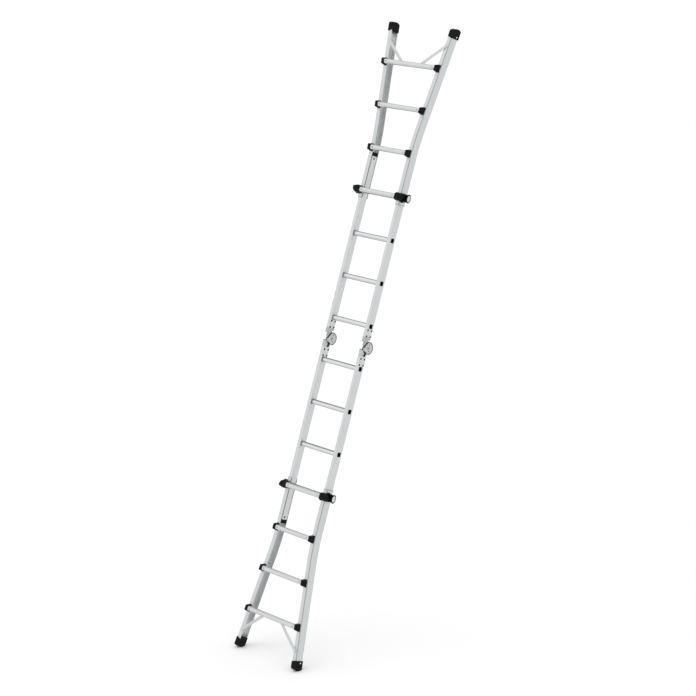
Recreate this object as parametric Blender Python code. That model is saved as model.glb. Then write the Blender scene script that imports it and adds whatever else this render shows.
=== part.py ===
"""Multi position ladder: two hinged halves, each an inner section that telescopes in a flared outer section.

The ladder is drawn straight and fully drawn out, leaning back as it stands against a wall. Every piece is
made in one half's own frame: X to the ladder's right, Y to its back, T along the stiles away from the hinge.
The lower half turns T down, the upper half turns it up, and the left side mirrors X.
"""

import math

import bmesh
import bpy
from mathutils import Matrix, Vector

# Spacing of the rungs and the lengths along the stiles
RUNG_PITCH = 0.280
HINGE_TO_RUNG = 0.139
RUNGS_PER_SECTION = 4
CHANNEL_OVERHANG = 0.050
INNER_TAIL = 0.227
SHOE_REACH = 0.266
LEAN_DEG = 19.5

# Inner stile, a rounded rectangular tube
INNER_CLEAR_WIDTH = 0.312
INNER_WIDTH = 0.026
INNER_DEPTH = 0.053
INNER_WALL = 0.0020
INNER_CORNER = 0.0045

# Outer stile, a channel that runs straight past the inner stile's end and then flares
CHANNEL_WALL = 0.0020
CHANNEL_CORNER = 0.0045
CORNER_STEPS = 3
FLANGE_WIDTH = 0.031
SLIDE_GAP = 0.0010
WEB_GAP = 0.0015
FLARE_DEG = 7.9
BEND_RADIUS = 1.45
BEND_PAST_RUNG = 0.067
BEND_STEPS = 5

# Rungs
RUNG_HEIGHT = 0.030
INNER_RUNG_DEPTH = 0.028
OUTER_RUNG_DEPTH = 0.026
RUNG_CORNER = 0.006
RUNG_WALL = 0.0018
COLLAR_GROWTH = 0.0020
COLLAR_WIDTH = 0.008
RUNG_STANDOFF = 0.0040
RUNG_SEAT = 0.0080

# Diagonal braces of the end rung
BRACE_SPREAD = 0.180
BRACE_DROP = 0.150
BRACE_WIDTH = 0.020
BRACE_THICKNESS = 0.005
BRACE_RISE = 0.007
BRACE_SINK = 0.0012
BRACE_EDGE = 0.0012

# Rung end brackets
BRACKET_BASE_HEIGHT = 0.050
BRACKET_FRONT_HEIGHT = 0.037
BRACKET_WALL = 0.0040
BRACKET_CHAMFER = 0.0030
BRACKET_INNER_INSET = 0.0015
BRACKET_OUTER_INSET = 0.0050

# Lock housing, knob and bolt
HOUSING_HEIGHT = 0.052
HOUSING_MOUTH = 0.0060
HOUSING_NECK_HEIGHT = 0.034
HOUSING_NECK = 0.012
HOUSING_SIDE = 0.014
HOUSING_BACK = 0.022
HOUSING_ROUND = 0.011
HOUSING_GUARD = 0.035
HOUSING_GUARD_FRONT = 0.0030
HOUSING_GUARD_HEIGHT = 0.020
HOUSING_GUARD_SHIFT = 0.0080
HOUSING_TAPER = 0.0055
HOUSING_BOSS_RADIUS = 0.0065
KNOB_HEIGHT = 0.057
KNOB_DEPTH = 0.039
KNOB_ROOT_SHARE = 0.84
KNOB_GRIP_SHARE = 0.89
KNOB_GRIP_LENGTH = 0.020
KNOB_RIM_SHARE = 0.95
KNOB_DISH_SHARE = 0.85
KNOB_LENGTH = 0.034
KNOB_DISH = 0.0012
BOLT_RADIUS = 0.008
KNOB_SEGMENTS = 18
BORE_SEGMENTS = 16

# Shoes
SHOE_LENGTH = 0.064
SHOE_WALL = 0.0030
SHOE_FLOOR = 0.024
SHOE_NOTCH = 0.014
SOLE_RADIUS = 0.050
SOLE_STEP_DEG = 12.0

# Glides on the inner stiles' ends
GLIDE_LENGTH = 0.025
GLIDE_SPIGOT = 0.032
GLIDE_SPIGOT_TAPER = 0.96
GLIDE_HEAD_TAPER = 0.94

# Hinge
DISC_RADIUS = 0.043
HINGE_THICKNESS = 0.0135
CHEEK_CHORD = 0.0335
CHEEK_CHORD_DEG = 33.0
TONGUE_THICKNESS = 0.0055
TONGUE_RADIUS = 0.0320
TONGUE_CUT_DEG = 19.7
TONGUE_NECK = 0.0142
FORK_CUT_DEG = -10.0
FORK_NECK = 0.0040
NECK_FRONT_INSET = 0.0145
NECK_BACK_INSET = 0.0115
NECK_WAIST = 0.0070
NECK_NOSE_T = 0.0142
NECK_NOSE_FORWARD = 0.0047
NECK_STEP = 0.0010
COLLAR_SLAB = 0.005
TANG_TO_RUNG = 0.0025
LOBE_REACH = 0.0345
LOBE_DEG = 23.9
PIN_RADIUS = 0.006
PIN_HEAD_RADIUS = 0.010
PIN_HEAD = 0.0022
DISC_SEGMENTS = 28
FOLD_CLEARANCE = 0.0005

# Lock lever beside the hinge disc
LEVER_ARM = 0.0122
LEVER_ARM_DEG = 16.0
LEVER_TIP = 0.0165
LEVER_TIP_DEG = 70.0
LEVER_HEEL = 0.0119
HEEL_STEPS = 5
LEVER_WIDTH = 0.0070
LEVER_THICKNESS = 0.0035
LEVER_LIFT = 0.0024
LEVER_HUB_RADIUS = 0.0050
LEVER_PIN_RADIUS = 0.0030
LEVER_FROM_END = 0.0085
LEVER_BACK = 0.0057

# Clearance between pieces that touch, between pieces that turn or slide, and overshoot of a cutting tool
FIT = 0.0003
RUN = 0.0005
OVER = 0.002

# Places that follow from the sizes above
HALF_DEPTH = INNER_DEPTH / 2 + SLIDE_GAP + CHANNEL_WALL
X_INNER_IN = INNER_CLEAR_WIDTH / 2
X_INNER_OUT = X_INNER_IN + INNER_WIDTH
X_INNER_MIDDLE = (X_INNER_IN + X_INNER_OUT) / 2
X_HINGE_IN = X_INNER_MIDDLE - HINGE_THICKNESS / 2
X_HINGE_OUT = X_INNER_MIDDLE + HINGE_THICKNESS / 2
X_WEB_IN = X_INNER_OUT + WEB_GAP
X_WEB_OUT = X_WEB_IN + CHANNEL_WALL
X_CHANNEL = X_WEB_OUT - FLANGE_WIDTH / 2
T_LOCK = HINGE_TO_RUNG + (RUNGS_PER_SECTION - 1) * RUNG_PITCH
T_CHANNEL_START = T_LOCK - CHANNEL_OVERHANG
T_INNER_END = T_LOCK + INNER_TAIL
T_LAST_RUNG = T_LOCK + (RUNGS_PER_SECTION - 1) * RUNG_PITCH
T_SOLE = T_LAST_RUNG + SHOE_REACH
T_CHANNEL_END = T_SOLE - SHOE_FLOOR
T_SOLE_CENTRE = T_SOLE - SOLE_RADIUS
PIVOT_Y = HALF_DEPTH + FOLD_CLEARANCE
LEAN = math.radians(LEAN_DEG)
FLARE = math.radians(FLARE_DEG)
END_CUTS = {"lower": (FORK_CUT_DEG, FORK_NECK), "upper": (TONGUE_CUT_DEG, TONGUE_NECK)}
BRACKET_DEPTH = RUNG_STANDOFF + OUTER_RUNG_DEPTH + BRACKET_WALL
Y_RUNG = -(HALF_DEPTH + RUNG_STANDOFF + OUTER_RUNG_DEPTH / 2)
X_KNOB = X_WEB_OUT + HOUSING_SIDE + FIT

SIDES = {"left": -1, "right": 1}
HALVES = {"lower": -1, "upper": 1}

# Colour, metallic and roughness of each finish
FINISHES = {
    "aluminium": ((0.62, 0.64, 0.64), 0.85, 0.38),
    "aluminium_rung": ((0.66, 0.67, 0.67), 0.85, 0.34),
    "hinge_metal": ((0.58, 0.61, 0.60), 0.80, 0.32),
    "steel_pin": ((0.45, 0.46, 0.47), 1.0, 0.30),
    "black_plastic": ((0.018, 0.018, 0.020), 0.0, 0.45),
    "black_rubber": ((0.012, 0.012, 0.013), 0.0, 0.65),
}


def clear_scene():
    """Remove every object that the open file holds."""
    for thing in list(bpy.data.objects):
        bpy.data.objects.remove(thing, do_unlink=True)


def make_material(name):
    """Make one of the named finishes as a Principled material."""
    colour, metallic, roughness = FINISHES[name]
    material = bpy.data.materials.new(name)
    material.use_nodes = True
    shader = material.node_tree.nodes["Principled BSDF"]
    shader.inputs["Base Color"].default_value = (*colour, 1.0)
    shader.inputs["Metallic"].default_value = metallic
    shader.inputs["Roughness"].default_value = roughness
    return material


def add_empty(name, parent, place):
    """Add an empty that carries one moving body, standing on that body's joint axis."""
    empty = bpy.data.objects.new(name, None)
    bpy.context.collection.objects.link(empty)
    empty.empty_display_size = 0.05
    empty.parent = parent
    empty.location = place
    return empty


class Body:
    """A rigid group of pieces, with the point of its joint axis in the ladder's own frame."""

    def __init__(self, name, parent, anchor, parent_anchor=(0.0, 0.0, 0.0)):
        self.anchor = Vector(anchor)
        self.empty = add_empty(name, parent, self.anchor - Vector(parent_anchor))


def arc(centre, radius, start_deg, end_deg, steps):
    """Points of an arc in a plane, with angles measured from the first axis to the second."""
    points = []
    for i in range(steps + 1):
        angle = math.radians(start_deg + (end_deg - start_deg) * i / steps)
        points.append((centre[0] + radius * math.cos(angle), centre[1] + radius * math.sin(angle)))
    return points


def rounded_rectangle(width, height, radius, steps=2):
    """Corner arcs of a rectangle about the origin, counter-clockwise."""
    across = width / 2 - radius
    along = height / 2 - radius
    points = []
    corners = ((across, along), (-across, along), (-across, -along), (across, -along))
    for i, corner in enumerate(corners):
        points += arc(corner, radius, 90 * i, 90 * (i + 1), steps)
    return points


def ellipse(width, height, segments):
    """Points of an ellipse about the origin, counter-clockwise."""
    turns = [2 * math.pi * i / segments for i in range(segments)]
    return [(width / 2 * math.cos(a), height / 2 * math.sin(a)) for a in turns]


def loft(rings, bore=None):
    """Skin rings of equal count into one closed body. A bore gives the inner rings of an open tube."""
    bm = bmesh.new()
    outer = [[bm.verts.new(p) for p in ring] for ring in rings]
    inner = [[bm.verts.new(p) for p in ring] for ring in bore or []]
    count = len(rings[0])
    pairs = [(a, b) for run in (outer, inner) for a, b in zip(run, run[1:])]
    if bore:
        pairs += [(outer[0], inner[0]), (outer[-1], inner[-1])]
    else:
        bm.faces.new(outer[0])
        bm.faces.new(outer[-1])
    for low, high in pairs:
        for i in range(count):
            j = (i + 1) % count
            bm.faces.new((low[i], low[j], high[j], high[i]))
    return bm


def along_x(section, stations):
    """Rings of a (y, t) section at places along X. A station is x, y, t and a growth of the section."""
    rings = []
    for x, y, t, growth in stations:
        ring = []
        for py, pt in section:
            reach = 1 + growth / max(math.hypot(py, pt), FIT)
            ring.append(Vector((x, y + py * reach, t + pt * reach)))
        rings.append(ring)
    return rings


def prism_x(outline, x_from, x_to, place=(0.0, 0.0)):
    """Extrude a (y, t) outline along X."""
    stations = [(x_from, place[0], place[1], 0.0), (x_to, place[0], place[1], 0.0)]
    return loft(along_x(outline, stations))


def make_piece(name, bm, body, half, side, finish, smooth=True):
    """Place a half-frame mesh on its body, mirrored to its half and side, as an object with its own mesh."""
    turn = Matrix.Diagonal((SIDES.get(side, 1), 1, HALVES[half], 1))
    bmesh.ops.transform(bm, matrix=turn, verts=bm.verts)
    bmesh.ops.translate(bm, vec=-body.anchor, verts=bm.verts)
    bmesh.ops.recalc_face_normals(bm, faces=bm.faces)
    mesh = bpy.data.meshes.new(name)
    bm.to_mesh(mesh)
    bm.free()
    piece = bpy.data.objects.new(name, mesh)
    bpy.context.collection.objects.link(piece)
    piece.parent = body.empty
    if finish:
        mesh.materials.append(MATERIALS[finish])
    if smooth:
        mesh.shade_smooth()
        mesh.set_sharp_from_angle(angle=math.radians(35))
    return piece


def combine(piece, operation, bm, body, half, side):
    """Cut a half-frame mesh from a piece, or join it on, with a Boolean modifier and a hidden tool."""
    number = len(piece.modifiers) + 1
    tool = make_piece(f"{piece.name}_tool_{number}", bm, body, half, side, None, smooth=False)
    tool.hide_render = True
    tool.display_type = "WIRE"
    step = piece.modifiers.new(f"{operation.lower()}_{number}", "BOOLEAN")
    step.operation = operation
    step.solver = "EXACT"
    step.object = tool


def channel_path(t):
    """The outer stile's centre at a distance from the hinge line, and its slope angle there."""
    bend_start = T_LOCK + RUNG_PITCH + BEND_PAST_RUNG - BEND_RADIUS * math.tan(FLARE / 2)
    bend_end = bend_start + BEND_RADIUS * math.sin(FLARE)
    if t <= bend_start:
        return X_CHANNEL, 0.0
    if t < bend_end:
        slope = math.asin((t - bend_start) / BEND_RADIUS)
        return X_CHANNEL + BEND_RADIUS * (1 - math.cos(slope)), slope
    x_end = X_CHANNEL + BEND_RADIUS * (1 - math.cos(FLARE))
    return x_end + (t - bend_end) * math.tan(FLARE), FLARE


def channel_stations(t_from, t_to):
    """Places along the outer stile: its ends and the steps of its bend."""
    bend_start = T_LOCK + RUNG_PITCH + BEND_PAST_RUNG - BEND_RADIUS * math.tan(FLARE / 2)
    bend = [bend_start + BEND_RADIUS * math.sin(FLARE * i / BEND_STEPS) for i in range(BEND_STEPS + 1)]
    return [t_from] + [t for t in bend if t_from + FIT < t < t_to - FIT] + [t_to]


def channel_outline(growth=0.0):
    """The channel's closed outline in (u, y), with u towards the web. Growth thickens its wall all round."""
    tip = -FLANGE_WIDTH / 2 - growth
    web = FLANGE_WIDTH / 2 + growth
    deep = HALF_DEPTH + growth
    wall = CHANNEL_WALL + 2 * growth
    round_out = CHANNEL_CORNER + growth
    round_in = max(round_out - wall, FIT)
    far = web - round_out
    near = web - wall - round_in
    points = [(tip, -deep)]
    points += arc((far, -deep + round_out), round_out, -90, 0, CORNER_STEPS)
    points += arc((far, deep - round_out), round_out, 0, 90, CORNER_STEPS)
    points += [(tip, deep), (tip, deep - wall)]
    points += arc((near, deep - wall - round_in), round_in, 90, 0, 2)
    points += arc((near, -deep + wall + round_in), round_in, 0, -90, 2)
    points.append((tip, -deep + wall))
    return points


def channel_mesh(t_from, t_to, growth=0.0):
    """Sweep the channel's outline along the straight, the bend and the flare."""
    rings = []
    for t in channel_stations(t_from, t_to):
        x, slope = channel_path(t)
        ring = []
        for u, y in channel_outline(growth):
            ring.append(Vector((x + u * math.cos(slope), y, t - u * math.sin(slope))))
        rings.append(ring)
    return loft(rings)


def rung_section(depth, growth=0.0):
    """The rounded (y, t) section that every rung is drawn from."""
    radius = max(RUNG_CORNER + growth, FIT)
    return rounded_rectangle(depth + 2 * growth, RUNG_HEIGHT + 2 * growth, radius)


def bolt_bore(radius, x_from, x_to):
    """A round tool on the lock bolt's axis."""
    return prism_x(ellipse(2 * radius, 2 * radius, BORE_SEGMENTS), x_from, x_to, (0.0, T_LOCK))


def slant(half, y, inset=0.0):
    """Distance from the hinge line of an inner stile's slanted end at a depth, less an inset along T."""
    cut, neck = END_CUTS[half]
    slope = math.tan(math.radians(cut))
    middle = (DISC_RADIUS + neck) * math.hypot(1, slope) - slope * PIVOT_Y
    return middle + slope * y - inset


def stile_section():
    """The (x, y) section of the inner stile's tube about its own middle."""
    return rounded_rectangle(INNER_WIDTH, INNER_DEPTH, INNER_CORNER)


def stile_ring(section, height):
    """A section of the inner stile on a face whose distance from the hinge line follows the depth."""
    return [Vector((X_INNER_MIDDLE + x, y, height(y))) for x, y in section]


def outer_stile(half, side, body):
    """The flared channel, with a hole in its web for the lock bolt."""
    bm = channel_mesh(T_CHANNEL_START, T_CHANNEL_END)
    stile = make_piece(f"{half}_outer_stile_{side}", bm, body, half, side, "aluminium")
    hole = bolt_bore(BOLT_RADIUS + RUN, X_WEB_IN - OVER, X_WEB_OUT + OVER)
    combine(stile, "DIFFERENCE", hole, body, half, side)


def inner_stile(half, side, body):
    """The straight tube, cut at a slant beside the hinge and pierced for its rungs."""
    radius_in = max(INNER_CORNER - INNER_WALL, FIT)
    inside = rounded_rectangle(INNER_WIDTH - 2 * INNER_WALL, INNER_DEPTH - 2 * INNER_WALL, radius_in)

    def rings(section):
        return [stile_ring(section, lambda y: slant(half, y)), stile_ring(section, lambda y: T_INNER_END)]

    bm = loft(rings(stile_section()), rings(inside))
    stile = make_piece(f"{half}_inner_stile_{side}", bm, body, half, side, "aluminium")
    section = rung_section(INNER_RUNG_DEPTH, FIT)
    for number in range(RUNGS_PER_SECTION):
        t = HINGE_TO_RUNG + number * RUNG_PITCH
        hole = prism_x(section, X_INNER_IN - OVER, X_INNER_OUT + OVER, (0.0, t))
        combine(stile, "DIFFERENCE", hole, body, half, side)


def inner_rung(half, number, body):
    """A tube through both inner stiles, with a swaged collar against each stile's inner face."""
    t = HINGE_TO_RUNG + number * RUNG_PITCH
    tip = X_INNER_OUT + FIT
    seat = X_INNER_IN - FIT
    back = seat - COLLAR_WIDTH
    right = [(back, 0.0), (back, COLLAR_GROWTH), (seat, COLLAR_GROWTH), (seat, 0.0), (tip, 0.0)]
    profile = [(-x, grown) for x, grown in reversed(right)] + right
    rings = along_x(rung_section(INNER_RUNG_DEPTH), [(x, 0.0, t, grown) for x, grown in profile])
    bore = along_x(rung_section(INNER_RUNG_DEPTH, -RUNG_WALL), [(-tip, 0.0, t, 0.0), (tip, 0.0, t, 0.0)])
    make_piece(f"{half}_inner_rung_{number + 1}", loft(rings, bore), body, half, "right", "aluminium_rung")


def outer_rung(half, number, body):
    """A tube in front of the channels. The last one carries two diagonal braces down to the channels."""
    t = T_LOCK + number * RUNG_PITCH
    tip = channel_path(t)[0] + RUNG_SEAT
    ends = [(-tip, Y_RUNG, t, 0.0), (tip, Y_RUNG, t, 0.0)]
    rings = along_x(rung_section(OUTER_RUNG_DEPTH), ends)
    bore = along_x(rung_section(OUTER_RUNG_DEPTH, -RUNG_WALL), ends)
    braced = number == RUNGS_PER_SECTION - 1
    kind = "lock_rung" if number == 0 else f"outer_rung_{number + 1}"
    name = f"{half}_{'braced_end_rung' if braced else kind}"
    rung = make_piece(name, loft(rings, bore), body, half, "right", "aluminium_rung")
    if braced:
        for side in SIDES:
            combine(rung, "UNION", brace_mesh(t), body, half, side)


def brace_mesh(t_rung):
    """A flat bar from the end rung's underside to the front flange of the channel near its shoe."""
    t_foot = t_rung + BRACE_DROP
    y_foot = -(HALF_DEPTH + FIT + BRACE_THICKNESS / 2)
    t_top = t_rung + RUNG_HEIGHT / 2 - BRACE_SINK
    top = Vector((BRACE_SPREAD / 2, y_foot - BRACE_RISE, t_top))
    foot = Vector((channel_path(t_foot)[0], y_foot, t_foot))
    run = (foot - top).normalized()
    across = run.cross(Vector((0.0, 1.0, 0.0))).normalized()
    rings = []
    for middle in (top, foot):
        ring = []
        for u, v in rounded_rectangle(BRACE_WIDTH, BRACE_THICKNESS, BRACE_EDGE, 1):
            ring.append(middle + across * u + Vector((0.0, v, 0.0)))
        rings.append(ring)
    return loft(rings)


def block_ring(half_width, half_height, y, chamfer, centre):
    """An eight-cornered ring across the ladder's front, sheared to follow the channel's flare."""
    x_mid, t_mid, slope = centre
    ring = []
    for x, t in rounded_rectangle(2 * half_width, 2 * half_height, chamfer, 1):
        ring.append(Vector((x_mid + x + t * math.tan(slope), y, t_mid + t)))
    return ring


def rung_bracket(half, number, side, body):
    """A tapered end cap on the channel's front flange that holds one end of a rung."""
    t = T_LOCK + number * RUNG_PITCH
    x, slope = channel_path(t)
    y_base = -(HALF_DEPTH + FIT)
    y_front = -(HALF_DEPTH + BRACKET_DEPTH)
    wide = (FLANGE_WIDTH - BRACKET_INNER_INSET - BRACKET_OUTER_INSET) / 2
    tall = BRACKET_BASE_HEIGHT / 2
    low = BRACKET_FRONT_HEIGHT / 2
    cut = BRACKET_CHAMFER
    centre = (x + (BRACKET_INNER_INSET - BRACKET_OUTER_INSET) / 2, t, slope)
    rings = [
        block_ring(wide, tall, y_base, cut, centre),
        block_ring(wide, tall, y_base - BRACKET_WALL, cut, centre),
        block_ring(wide, low, y_front + cut, cut, centre),
        block_ring(wide - cut, low - cut / 2, y_front, cut, centre),
    ]
    name = f"{half}_rung_bracket_{number + 1}_{side}"
    bracket = make_piece(name, loft(rings), body, half, side, "black_plastic")
    combine(bracket, "DIFFERENCE", rung_socket(t, x), body, half, side)


def rung_socket(t, x):
    """The tool for the pocket that a rung's end sits in."""
    deep = x + RUNG_SEAT + FIT
    return prism_x(rung_section(OUTER_RUNG_DEPTH, FIT), x - FLANGE_WIDTH, deep, (Y_RUNG, t))


def housing_ring(x, half_height, y_front, shift=0.0):
    """A ring of the housing's front block at one place along X, shifted along the stile."""
    y_base = -(HALF_DEPTH + FIT)
    middle = (y_base + y_front) / 2
    section = rounded_rectangle(y_base - y_front, 2 * half_height, BRACKET_CHAMFER, 1)
    return [Vector((x, middle + y, T_LOCK + shift + t)) for y, t in section]


def lock_housing(half, side, body):
    """A cap on the lock rung's end that guides the lock bolt, with a tapered guard in front of the knob."""
    x_lip = X_CHANNEL - FLANGE_WIDTH / 2 + HOUSING_MOUTH
    x_in = X_WEB_OUT + FIT
    x_out = X_WEB_OUT + HOUSING_SIDE
    x_guard = X_WEB_OUT + HOUSING_GUARD
    y_front = -(HALF_DEPTH + BRACKET_DEPTH)
    tall = HOUSING_HEIGHT / 2 - FIT
    rings = [
        housing_ring(x_lip, HOUSING_NECK_HEIGHT / 2, y_front),
        housing_ring(x_lip + HOUSING_NECK, tall, y_front),
        housing_ring(X_WEB_OUT - HOUSING_TAPER, tall, y_front),
        housing_ring(x_guard, HOUSING_GUARD_HEIGHT / 2, y_front + HOUSING_GUARD_FRONT, HOUSING_GUARD_SHIFT),
    ]
    name = f"{half}_lock_housing_{side}"
    housing = make_piece(name, loft(rings), body, half, side, "black_plastic")
    y_fore = -(HALF_DEPTH + BRACKET_DEPTH / 2)
    plate = rounded_rectangle(HOUSING_BACK - y_fore, HOUSING_HEIGHT, HOUSING_ROUND, CORNER_STEPS)
    middle = ((HOUSING_BACK + y_fore) / 2, T_LOCK)
    combine(housing, "UNION", prism_x(plate, x_in, x_out, middle), body, half, side)
    boss = ellipse(2 * HOUSING_BOSS_RADIUS, 2 * HOUSING_BOSS_RADIUS, BORE_SEGMENTS)
    t_boss = T_LOCK - HOUSING_HEIGHT / 2
    x_boss = x_out - RUN
    y_boss = (HOUSING_BACK + y_fore) / 2
    combine(housing, "UNION", prism_x(boss, x_in + RUN, x_boss, (y_boss, t_boss)), body, half, side)
    combine(housing, "DIFFERENCE", rung_socket(T_LOCK, X_CHANNEL), body, half, side)
    bore = bolt_bore(BOLT_RADIUS + RUN, x_in - OVER, x_out + OVER)
    combine(housing, "DIFFERENCE", bore, body, half, side)


def lock_knob(half, side, body):
    """An oval pull knob with a dished end, in one piece with the spring bolt that it draws."""
    bolt = ellipse(2 * BOLT_RADIUS, 2 * BOLT_RADIUS, KNOB_SEGMENTS)
    oval = ellipse(KNOB_DEPTH, KNOB_HEIGHT, KNOB_SEGMENTS)
    end = X_KNOB + KNOB_LENGTH
    edge = KNOB_DISH
    profile = [
        (X_WEB_IN + FIT, bolt, 1.0 - edge / BOLT_RADIUS),
        (X_WEB_IN + FIT + edge, bolt, 1.0),
        (X_KNOB, bolt, 1.0),
        (X_KNOB, oval, KNOB_ROOT_SHARE),
        (X_KNOB + KNOB_GRIP_LENGTH, oval, KNOB_GRIP_SHARE),
        (end - 3 * edge, oval, 1.0),
        (end - edge, oval, 1.0),
        (end, oval, KNOB_RIM_SHARE),
        (end, oval, KNOB_DISH_SHARE),
        (end - edge, oval, KNOB_DISH_SHARE - edge / KNOB_DEPTH),
    ]
    rings = []
    for x, section, scale in profile:
        rings.append([Vector((x, y * scale, T_LOCK + t * scale)) for y, t in section])
    make_piece(f"{half}_lock_knob_{side}", loft(rings), body, half, side, "black_plastic")


def sole_outline():
    """The shoe's (y, t) side view: a square mouth and a faceted round sole, one facet flat on the floor."""
    half_depth = HALF_DEPTH + SHOE_WALL
    t_mouth = T_SOLE - SHOE_LENGTH
    step = math.radians(SOLE_STEP_DEG)
    limit = math.asin(half_depth / (SOLE_RADIUS / math.cos(step / 2)))
    first = math.ceil((-limit - LEAN) / step - 0.5)
    last = math.floor((limit - LEAN) / step - 0.5)
    corners = [LEAN + (i + 0.5) * step for i in range(first, last + 1)]
    reach = SOLE_RADIUS / math.cos(step / 2)
    points = [(-half_depth, t_mouth)]
    start = corners[0] - step / 2
    finish = corners[-1] + step / 2
    points.append((-half_depth, sole_height(-half_depth, start)))
    points += [(reach * math.sin(a), T_SOLE_CENTRE + reach * math.cos(a)) for a in corners]
    points += [(half_depth, sole_height(half_depth, finish)), (half_depth, t_mouth)]
    return points


def sole_height(y, facet):
    """Where a facet of the sole, given by its normal's angle, meets the shoe's front or back wall."""
    return T_SOLE_CENTRE + (SOLE_RADIUS - y * math.sin(facet)) / math.cos(facet)


def shoe(half, side, body):
    """A cap over the channel's end, with a core that fills the channel and a slanted notch at its front."""
    outline = sole_outline()
    wide = FLANGE_WIDTH / 2 / math.cos(FLARE) + SHOE_WALL
    rings = []
    for u in (-wide, wide):
        rings.append([Vector((channel_path(t)[0] + u, y, t)) for y, t in outline])
    piece = make_piece(f"{half}_shoe_{side}", loft(rings), body, half, side, "black_rubber", smooth=False)
    t_mouth = T_SOLE - SHOE_LENGTH
    pocket = channel_mesh(t_mouth - SHOE_LENGTH / 4, T_CHANNEL_END + FIT, FIT)
    combine(piece, "DIFFERENCE", pocket, body, half, side)
    x_mouth = channel_path(t_mouth)[0]
    corner = [(-wide - OVER, -OVER), (wide, -OVER), (-wide - OVER, SHOE_NOTCH)]
    wedge = []
    for y in (-(HALF_DEPTH + SHOE_WALL + OVER), -(HALF_DEPTH - CHANNEL_WALL / 2)):
        wedge.append([Vector((x_mouth + u, y, t_mouth + t)) for u, t in corner])
    combine(piece, "DIFFERENCE", loft(wedge), body, half, side)


def glide(half, side, body):
    """A plug in the inner stile's far end whose head fills the channel and runs in it."""
    spigot = plug_section()
    x_wall = X_WEB_IN - FIT
    head_depth = INNER_DEPTH + 2 * (SLIDE_GAP - FIT)
    head = rounded_rectangle(x_wall - X_INNER_IN, head_depth, INNER_CORNER - INNER_WALL)
    x_head = (X_INNER_IN + x_wall) / 2
    t_head = T_INNER_END + FIT
    t_end = t_head + GLIDE_LENGTH
    lead = INNER_WALL
    stations = [
        (spigot, X_INNER_MIDDLE, T_INNER_END - GLIDE_SPIGOT, GLIDE_SPIGOT_TAPER),
        (spigot, X_INNER_MIDDLE, T_INNER_END - GLIDE_SPIGOT + lead, 1.0),
        (spigot, X_INNER_MIDDLE, t_head, 1.0),
        (head, x_head, t_head, 1.0),
        (head, x_head, t_end - lead, 1.0),
        (head, x_head, t_end, GLIDE_HEAD_TAPER),
    ]
    rings = []
    for section, x, t, scale in stations:
        rings.append([Vector((x + px * scale, py * scale, t)) for px, py in section])
    make_piece(f"{half}_glide_{side}", loft(rings), body, half, side, "black_plastic")


def plug_section():
    """The (x, y) section of a plug that fits inside the inner stile's tube."""
    width = INNER_WIDTH - 2 * (INNER_WALL + FIT)
    depth = INNER_DEPTH - 2 * (INNER_WALL + FIT)
    return rounded_rectangle(width, depth, max(INNER_CORNER - INNER_WALL, FIT))


def tang_mesh(half):
    """The block of a hinge member that is riveted inside the inner stile's end."""
    t_end = HINGE_TO_RUNG - RUNG_HEIGHT / 2 - TANG_TO_RUNG
    start = stile_ring(plug_section(), lambda y: slant(half, y, COLLAR_SLAB / 2))
    return loft([start, stile_ring(plug_section(), lambda y: t_end)])


def hinge_disc(radius, x_from, x_to):
    """A round plate about the hinge's pivot."""
    return prism_x(ellipse(2 * radius, 2 * radius, DISC_SEGMENTS), x_from, x_to, (PIVOT_Y, 0.0))


def cheek_outline():
    """The (y, t) outline of a hinge cheek: a circle with a straight edge at its upper front."""
    cut = math.radians(CHEEK_CHORD_DEG)
    outward = Vector((-math.cos(cut), -math.sin(cut)))
    outline = []
    for y, t in ellipse(2 * DISC_RADIUS, 2 * DISC_RADIUS, DISC_SEGMENTS):
        point = Vector((y, t))
        point -= outward * max(point.dot(outward) - CHEEK_CHORD, 0.0)
        outline.append((PIVOT_Y + point.x, point.y))
    return outline


def lobe_edge(y):
    """Distance from the hinge line of the fork's sloping top at a depth."""
    lobe = math.radians(LOBE_DEG)
    return (LOBE_REACH + math.sin(lobe) * (y - PIVOT_Y)) / math.cos(lobe)


def hinge_fork(side, body):
    """The lower hinge member: two thin cheeks on a block with a sloping top, and a tang in the stile."""
    top = stile_ring(stile_section(), lobe_edge)
    foot = stile_ring(stile_section(), lambda y: slant("lower", y, FIT))
    fork = make_piece(f"hinge_fork_{side}", loft([top, foot]), body, "lower", side, "hinge_metal")
    combine(fork, "UNION", tang_mesh("lower"), body, "lower", side)
    combine(fork, "UNION", prism_x(cheek_outline(), X_HINGE_IN, X_HINGE_OUT), body, "lower", side)
    gap = TONGUE_THICKNESS / 2 + RUN
    slot = hinge_disc(DISC_RADIUS + RUN, X_INNER_MIDDLE - gap, X_INNER_MIDDLE + gap)
    combine(fork, "DIFFERENCE", slot, body, "lower", side)
    eye = hinge_disc(PIN_RADIUS + FIT, X_HINGE_IN - OVER, X_HINGE_OUT + OVER)
    combine(fork, "DIFFERENCE", eye, body, "lower", side)
    eye = ellipse(2 * (LEVER_PIN_RADIUS + FIT), 2 * (LEVER_PIN_RADIUS + FIT), BORE_SEGMENTS)
    hole = prism_x(eye, X_INNER_IN - OVER, X_INNER_OUT + OVER, lever_pivot())
    combine(fork, "DIFFERENCE", hole, body, "lower", side)


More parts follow.
